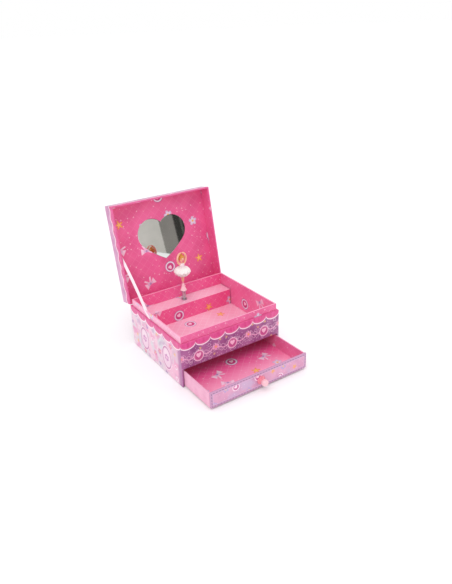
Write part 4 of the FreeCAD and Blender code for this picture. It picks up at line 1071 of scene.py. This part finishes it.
def make_hinge_cloth():
    """The cloth strip glued over the hinge line at the back."""
    low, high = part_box("hinge_cloth")
    half = (high.x - low.x) / 2
    back = HINGE.y + CLOTH_GAP
    swing = Matrix.Rotation(OPEN_TURN, 3, "X")
    lid_way, lid_out = swing @ Vector((0, 0, 1)), swing @ Vector((0, 1, 0))
    line = [Vector((0, back, HINGE.z - CLOTH_LEG + CLOTH_LEG * i / 6)) for i in range(6)]
    line.append(Vector((0, back + 0.15 * MM, HINGE.z - 0.6 * MM)))
    corner = HINGE + lid_out * CLOTH_GAP
    line += [corner + lid_way * (CLOTH_BEND + (CLOTH_LEG - CLOTH_BEND) * i / 6) for i in range(7)]
    across = Vector((1, 0, 0))
    cloth = band("hinge_strip", [(point, across) for point in line], half, CLOTH_THICK)
    paint(cloth, woven("hinge_weave", "e9a9cd", "cf86b4", X, Z, 0.7))
    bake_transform(cloth)
    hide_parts("hinge_cloth")


# Metal

def metal(name, light, dark, gloss, streak=(0.4, 6.0)):
    """Drawn or cast metal with fine streaks."""
    finish = Finish(name, Metallic=1.0)
    axes = finish.axes(finish.place())
    grain = finish.noise(finish.flat(axes[X] / streak[0], axes[Z] / streak[1]), 1.0, 3.0)
    finish.coat(grain, dark, light, 0.2, gloss)
    finish.relief(grain, 0.01, 0.4)
    return finish


def make_movement_looks():
    zinc = metal("zinc_cast", "cfd1d4", "b6b8bc", 0.36, (1.5, 1.5))
    steel = metal("steel_ground", "c9cccf", "aeb2b6", 0.2)
    brass = metal("brass_turned", "d9b25e", "b98c3c", 0.22)
    looks = [
        (zinc, ["bedplate", "spring_housing", "housing_cap", "governor_bracket", "comb_rest",
                "spindle_cup", "spring_ferrule"]),
        (steel, ["bedplate_screws", "comb", "comb_screws", "governor_screw", "knob_screw", "mainspring",
                 "winding_arbor", "cylinder_arbor", "governor_arbor", "worm_shaft"]),
        (brass, ["crown_wheel", "cylinder_pinion", "cylinder_gear", "cylinder_drum", "worm_wheel"]),
        (metal("key_plated", "dfe1e4", "c3c6ca", 0.12, (2.0, 2.0)), ["winding_key"]),
        (moulded("fly_black", "3a3a3e", "2a2a2e", 0.4), ["fly_blades"]),
        (plain_paper("bottom_paper", "ded6d2", "cfc6c2"), ["case_bottom"]),
    ]
    for finish, nodes in looks:
        for node in nodes:
            paint(frame["nodes"][node], finish)


SPRING_WIRE = 0.35 * MM
SPRING_RADIUS = 2.3 * MM
SPRING_TURNS = 8
SPRING_STEPS = 20 * SPRING_TURNS


def make_spring():
    """The pop-up spring under the dancer, wound finer than its solid."""
    low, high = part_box("popup_spring")
    rise = high.z - low.z - 2 * SPRING_WIRE
    points = []
    for i in range(SPRING_STEPS + 1):
        share = i / SPRING_STEPS
        angle = FULL_TURN * SPRING_TURNS * share
        points.append((SPRING_RADIUS * math.cos(angle), SPINDLE_Y + SPRING_RADIUS * math.sin(angle),
                       low.z + SPRING_WIRE + rise * share, SPRING_WIRE))
    spring = limb("spring_coil", points, 3)
    bpy.ops.object.shade_smooth()
    paint(spring, metal("spring_steel", "e4e3e5", "c9c8cb", 0.26))
    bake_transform(spring)
    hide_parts("popup_spring")


# Dancer: heights above the floor, in millimetres

ANKLE, HIP, SHOULDER, HEAD = 76.9, 87.4, 106.4, 114.1
SHOE_TOP = 80.0
HAND = SHOULDER + 16.3
FOOT_RIM = 1.2


def dancer_place(x, y, z):
    return Vector((x * MM, SPINDLE_Y + y * MM, z * MM))


def dancer_limb(name, *rows):
    """A limb through rows of x, y, height and radius round the spindle."""
    return limb(name, [(*dancer_place(x, y, z), radius * MM) for x, y, z, radius in rows])


def make_foot():
    low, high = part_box("dancer_foot")
    height = (high.z - low.z) / MM
    profile = [(0, 0.05), (3.9, 0)] + arc((3.9, 0.5), 0.5, -90, 0, 5) + [(4.35, FOOT_RIM)]
    for i in range(1, 11):
        share = i / 10
        profile.append((4.3 - 2.95 * share ** 0.8, FOOT_RIM + (height - FOOT_RIM) * share))
    profile.append((0, height))
    foot = turned("foot_cone", profile, dancer_place(0, 0, low.z / MM))
    pink = moulded("foot_pink", "ffdfe4", "fccdd5", 0.22)
    set_on(paint(foot, pink), "dancer", "foot_plastic", "dancer_foot")


def make_leg(side):
    return dancer_limb("leg",
                       (side * 0.5, 0.1 * side, ANKLE - 0.4, 0.65),
                       (side * 0.65, 0, ANKLE + 2.5, 0.9),
                       (side * 0.85, 0, ANKLE + 6, 1.2),
                       (side * 1.0, 0, HIP + 0.5, 1.4),
                       (side * 1.0, 0, HIP + 3, 1.6))


def make_arm(side):
    return dancer_limb("arm",
                       (side * 2.1, 0, SHOULDER - 1.4, 1.5),
                       (side * 4.7, -0.2, SHOULDER + 0.9, 1.5),
                       (side * 6.7, -0.5, SHOULDER + 6.2, 1.45),
                       (side * 6.1, -0.9, SHOULDER + 12.0, 1.35),
                       (side * 3.5, -1.1, SHOULDER + 15.6, 1.15),
                       (side * 1.1, -1.2, HAND, 0.9))


def make_figure():
    """A small moulded dancer: legs, raised arms, neck and head."""
    limbs = []
    for side in (-1, 1):
        limbs.append(make_leg(side))
        limbs.append(make_arm(side))
        limbs.append(ball("hand", dancer_place(side * 1.4, -1.2, HAND), (1.2, 0.8, 0.9)))
    limbs.append(dancer_limb("neck", (0, 0.1, SHOULDER - 1.6, 1.6), (0, 0, SHOULDER + 0.5, 1.15),
                             (0, 0, HEAD - 2.5, 1.1)))
    limbs.append(ball("skull", dancer_place(0, 0, HEAD), (4.0, 4.0, 4.4)))
    limbs.append(ball("nose", dancer_place(0, -3.95, HEAD - 0.5), (0.35, 0.4, 0.5)))
    body = melt("dancer_body", limbs, 4)
    set_on(paint(body, skin_finish()), "dancer", "doll_plastic", "dancer_figure")


def make_bodice():
    profile = [(0, 93.0), (2.8, 93.0), (2.6, 97.0), (2.6, 99.5), (3.1, 102.0), (3.8, 104.6),
               (3.6, 106.3), (2.3, 107.2), (0, 107.4)]
    bodice = turned("dancer_bodice", profile, dancer_place(0, 0, 0))
    modify(bodice, "SUBSURF", levels=2, render_levels=2)
    bpy.ops.object.shade_smooth()
    set_on(paint(bodice, moulded("bodice_white", "f8e9ec", "efd6de", 0.3)), "dancer", "doll_plastic")


def make_hair():
    """Hair drawn back over the head into a bun."""
    cap = ball("cap", dancer_place(0, 0.5, HEAD + 0.6), (4.7, 4.3, 4.6))
    fringe = ball("fringe", dancer_place(0, -1.9, HEAD + 2.9), (3.2, 2.2, 1.5))
    bun = ball("bun", dancer_place(0, 1.0, HEAD + 5.0), (2.3, 2.3, 1.9))
    hair = melt("dancer_hair", [cap, fringe, bun], 3)
    set_on(paint(hair, hair_finish()), "dancer", "doll_plastic")


def skin_finish():
    """Doll skin with painted eyes, cheeks and lips, and pink shoes."""
    skin = Print("doll_skin", X, Z, IOR=1.45, Subsurface_Weight=0.08, Subsurface_Scale=0.001)
    x, y, z = skin.sides
    flow = skin.ground(5.0, "f0b294", "f6c4a8", detail=2.0)
    face = within(y - (SPINDLE_Y / MM - 2.0), 0.2)
    eye_x = abs(x) - 1.35
    eye_z = z - (HEAD + 0.15)
    skin.lay((eye_x * eye_x + eye_z * eye_z * 1.4).root().fade(0.52, 0.4) * face, "4a2f2a")
    skin.lay(away(abs(x) - 1.9, z - (HEAD - 1.1)).fade(1.1, 0.2) * face * 0.5, "f58f8f")
    skin.lay(away(x * 0.7, (z - (HEAD - 1.9)) * 1.6).fade(0.6, 0.45) * face, "d4476a")
    skin.lay(within(z - SHOE_TOP, 0.2), "f6a3b8")
    skin.give("Base Color", skin.colour)
    skin.give("Roughness", flow * 0.1 + 0.34)
    return skin


def hair_finish():
    finish = Finish("doll_hair", IOR=1.45)
    x, y, z = finish.axes(finish.place())
    strand = finish.noise(finish.flat(x * 3.0 + y, z * 0.5), 1.0, 3.0)
    finish.coat(strand, "bd7026", "e9a850", 0.2, 0.35)
    finish.relief(strand, 0.12, 0.8)
    return finish


WAIST = 2.8
TULLE_THICK = 0.1 * MM
TUTU_AROUND = 168
TUTU_RINGS = 14
# Each layer of the tutu: height at the waist, height at the rim, rim radius, folds, turn of the folds
TUTU_LAYERS = [
    (101.8, 95.8, 10.8, 13, 0.0),
    (100.5, 94.7, 11.4, 14, 0.5),
    (99.0, 92.8, 10.4, 13, 0.9),
    (97.2, 90.7, 8.4, 12, 0.3),
    (95.4, 88.9, 5.9, 10, 0.7),
]


def tulle_finish():
    tulle = Finish("tutu_tulle", Sheen_Weight=0.4, Sheen_Roughness=0.5, Roughness=0.75)
    spot = tulle.place()
    x, y, z = tulle.axes(spot)
    reach = away(x, y - SPINDLE_Y / MM)
    tulle.give("Base Color", tulle.mix(reach.fade(3.0, 10.0), "f4e6e6", "fdf7f4"))
    tulle.give("Alpha", tulle.noise(spot, 1.2, 3.0) * 0.25 + 0.8)
    return tulle


def make_tutu_layer(number, high, low, radius, folds, phase):
    """One rippled ring of gathered tulle."""
    points = []
    for ring_number in range(TUTU_RINGS + 1):
        share = ring_number / TUTU_RINGS
        base = WAIST + (radius - WAIST) * math.sin(share * math.pi / 2) ** 0.9
        level = high + (low - high) * (1 - math.cos(share * math.pi / 2)) ** 0.8
        for step in range(TUTU_AROUND):
            angle = FULL_TURN * step / TUTU_AROUND
            fold = folds * angle + phase * 6
            wave = math.sin(fold) + 0.35 * math.sin((2 * folds + 1) * angle + phase * 9)
            out = base + 0.4 * share * math.cos(fold)
            points.append(dancer_place(out * math.cos(angle), out * math.sin(angle),
                                       level + 0.6 * share * wave))
    faces = []
    for start in range(0, TUTU_RINGS * TUTU_AROUND, TUTU_AROUND):
        for step in range(TUTU_AROUND):
            a = start + step
            b = start + (step + 1) % TUTU_AROUND
            faces.append((a, b, b + TUTU_AROUND, a + TUTU_AROUND))
    layer = from_points("tutu_layer_%d" % number, points, faces=faces)
    modify(layer, "SOLIDIFY", thickness=TULLE_THICK, offset=0)
    hold(layer)
    bpy.ops.object.shade_smooth()
    return layer


def make_tutu():
    """Layers of gathered tulle on the hips, widest in the middle."""
    tulle = tulle_finish()
    for number, row in enumerate(TUTU_LAYERS, 1):
        high, low, radius, folds, phase = row
        layer = make_tutu_layer(number, *row)
        set_on(paint(layer, tulle), "dancer", "tulle", *(["dancer_tutu"] if number == 1 else []))


# Floor, light and camera

FLOOR_SIZE = 60
# The light that the white sky gives, where white to look at is 1
SKY_LIGHT = 0.92
KEY_WAY = Vector((0.5, 0.5, -1.2))
KEY_POWER = 0.75
KEY_SPREAD = math.radians(40)
FILL_PLACE = Vector((0.9, -0.6, 0.7))
FILL_TARGET = Vector((0, 0, 0.06))
FILL_SIZE = 0.8
FILL_POWER = 0.6


def make_floor():
    deselect()
    bpy.ops.mesh.primitive_plane_add(size=FLOOR_SIZE, location=(0, 0, 0))
    white = Finish("floor_white", Roughness=0.8)
    white.give("Base Color", "fefefe")
    paint(named("studio_floor"), white)


def make_sky():
    world = bpy.data.worlds.new("studio")
    bpy.context.scene.world = world
    world.use_nodes = True
    tree = world.node_tree
    sky = tree.nodes["Background"]
    sky.inputs["Color"].default_value = (1, 1, 1, 1)
    seen = tree.nodes.new("ShaderNodeLightPath")
    strength = tree.nodes.new("ShaderNodeMath")
    strength.operation = "MULTIPLY_ADD"
    strength.inputs[1].default_value = 1 - SKY_LIGHT
    strength.inputs[2].default_value = SKY_LIGHT
    tree.links.new(seen.outputs["Is Camera Ray"], strength.inputs[0])
    tree.links.new(strength.outputs[0], sky.inputs["Strength"])


def lamp(name, kind, power, way):
    light = bpy.data.lights.new(name, kind)
    light.energy = power
    piece = add_object(name, light)
    piece.rotation_euler = way.to_track_quat("-Z", "Y").to_euler()
    return piece


def make_light():
    make_sky()
    lamp("key_light", "SUN", KEY_POWER, KEY_WAY).data.angle = KEY_SPREAD
    fill = lamp("fill_light", "AREA", FILL_POWER, FILL_TARGET - FILL_PLACE)
    fill.data.shape = "SQUARE"
    fill.data.size = FILL_SIZE
    fill.location = FILL_PLACE


# Grey studio boards beside the camera, seen only in reflections: start and end along the row, and tone
BOARD_ROW = Vector((277, -487, 0)) * MM
BOARD_WAY = Vector((0.905, 0.426, 0))
BOARD_LOW, BOARD_HIGH = 89 * MM, 700 * MM
BOARD_SLOPE = -0.4
BOARDS = [
    ("board_light", -400, -1, "d2cec7"),
    ("board_middle", -1, 36, "8c8882"),
    ("board_dark", 36, 52, "2f2d2a"),
    ("board_strip", 52, 57, "5d5a56"),
    ("board_end", 57, 200, "282624"),
]


def make_boards():
    for name, start, end, tone in BOARDS:
        near = BOARD_ROW + BOARD_WAY * start * MM
        far = BOARD_ROW + BOARD_WAY * end * MM
        points = [(near.x, near.y, BOARD_LOW + BOARD_SLOPE * start * MM),
                  (far.x, far.y, BOARD_LOW + BOARD_SLOPE * end * MM),
                  (far.x, far.y, BOARD_HIGH), (near.x, near.y, BOARD_HIGH)]
        board = from_points(name, points, faces=[(3, 2, 1, 0)])
        matt = Finish(name + "_paint", Roughness=0.9)
        matt.give("Base Color", tone)
        paint(board, matt)
        board.visible_camera = False
        board.visible_diffuse = False
        board.visible_shadow = False


CAMERA_AZIMUTH = math.radians(-33.465)
CAMERA_RISE = math.radians(25.572)
CAMERA_ROLL = math.radians(-2.011)
CAMERA_DISTANCE = 743.094 * MM
AIM_ASIDE = 30.972 * MM
AIM_HEIGHT = 81.43 * MM
FOCAL_PIXELS = 564.259
PHOTO_HEIGHT = 584
SENSOR = 36.0


def make_camera():
    camera_data = bpy.data.cameras.new("camera")
    camera_data.sensor_width = SENSOR
    camera_data.lens = FOCAL_PIXELS / PHOTO_HEIGHT * SENSOR
    camera = add_object("camera", camera_data)
    around = Matrix.Rotation(CAMERA_AZIMUTH, 4, "Z")
    tilt = Matrix.Rotation(math.pi / 2 - CAMERA_RISE, 4, "X") @ Matrix.Rotation(CAMERA_ROLL, 4, "Z")
    aim = Matrix.Translation(around @ Vector((AIM_ASIDE, 0, AIM_HEIGHT)))
    camera.matrix_world = aim @ around @ tilt @ Matrix.Translation((0, 0, CAMERA_DISTANCE))
    bpy.context.scene.camera = camera
    bpy.context.scene.view_settings.view_transform = "Standard"


make_case_wrap()
make_neck()
make_stage()
make_tray()
make_lid_wrap()
make_drawer()
make_mirror()
make_gem()
make_knob()
make_ribbon()
make_hinge_cloth()
make_movement_looks()
make_spring()
make_foot()
make_figure()
make_bodice()
make_hair()
make_tutu()
make_floor()
make_boards()
make_light()
make_camera()
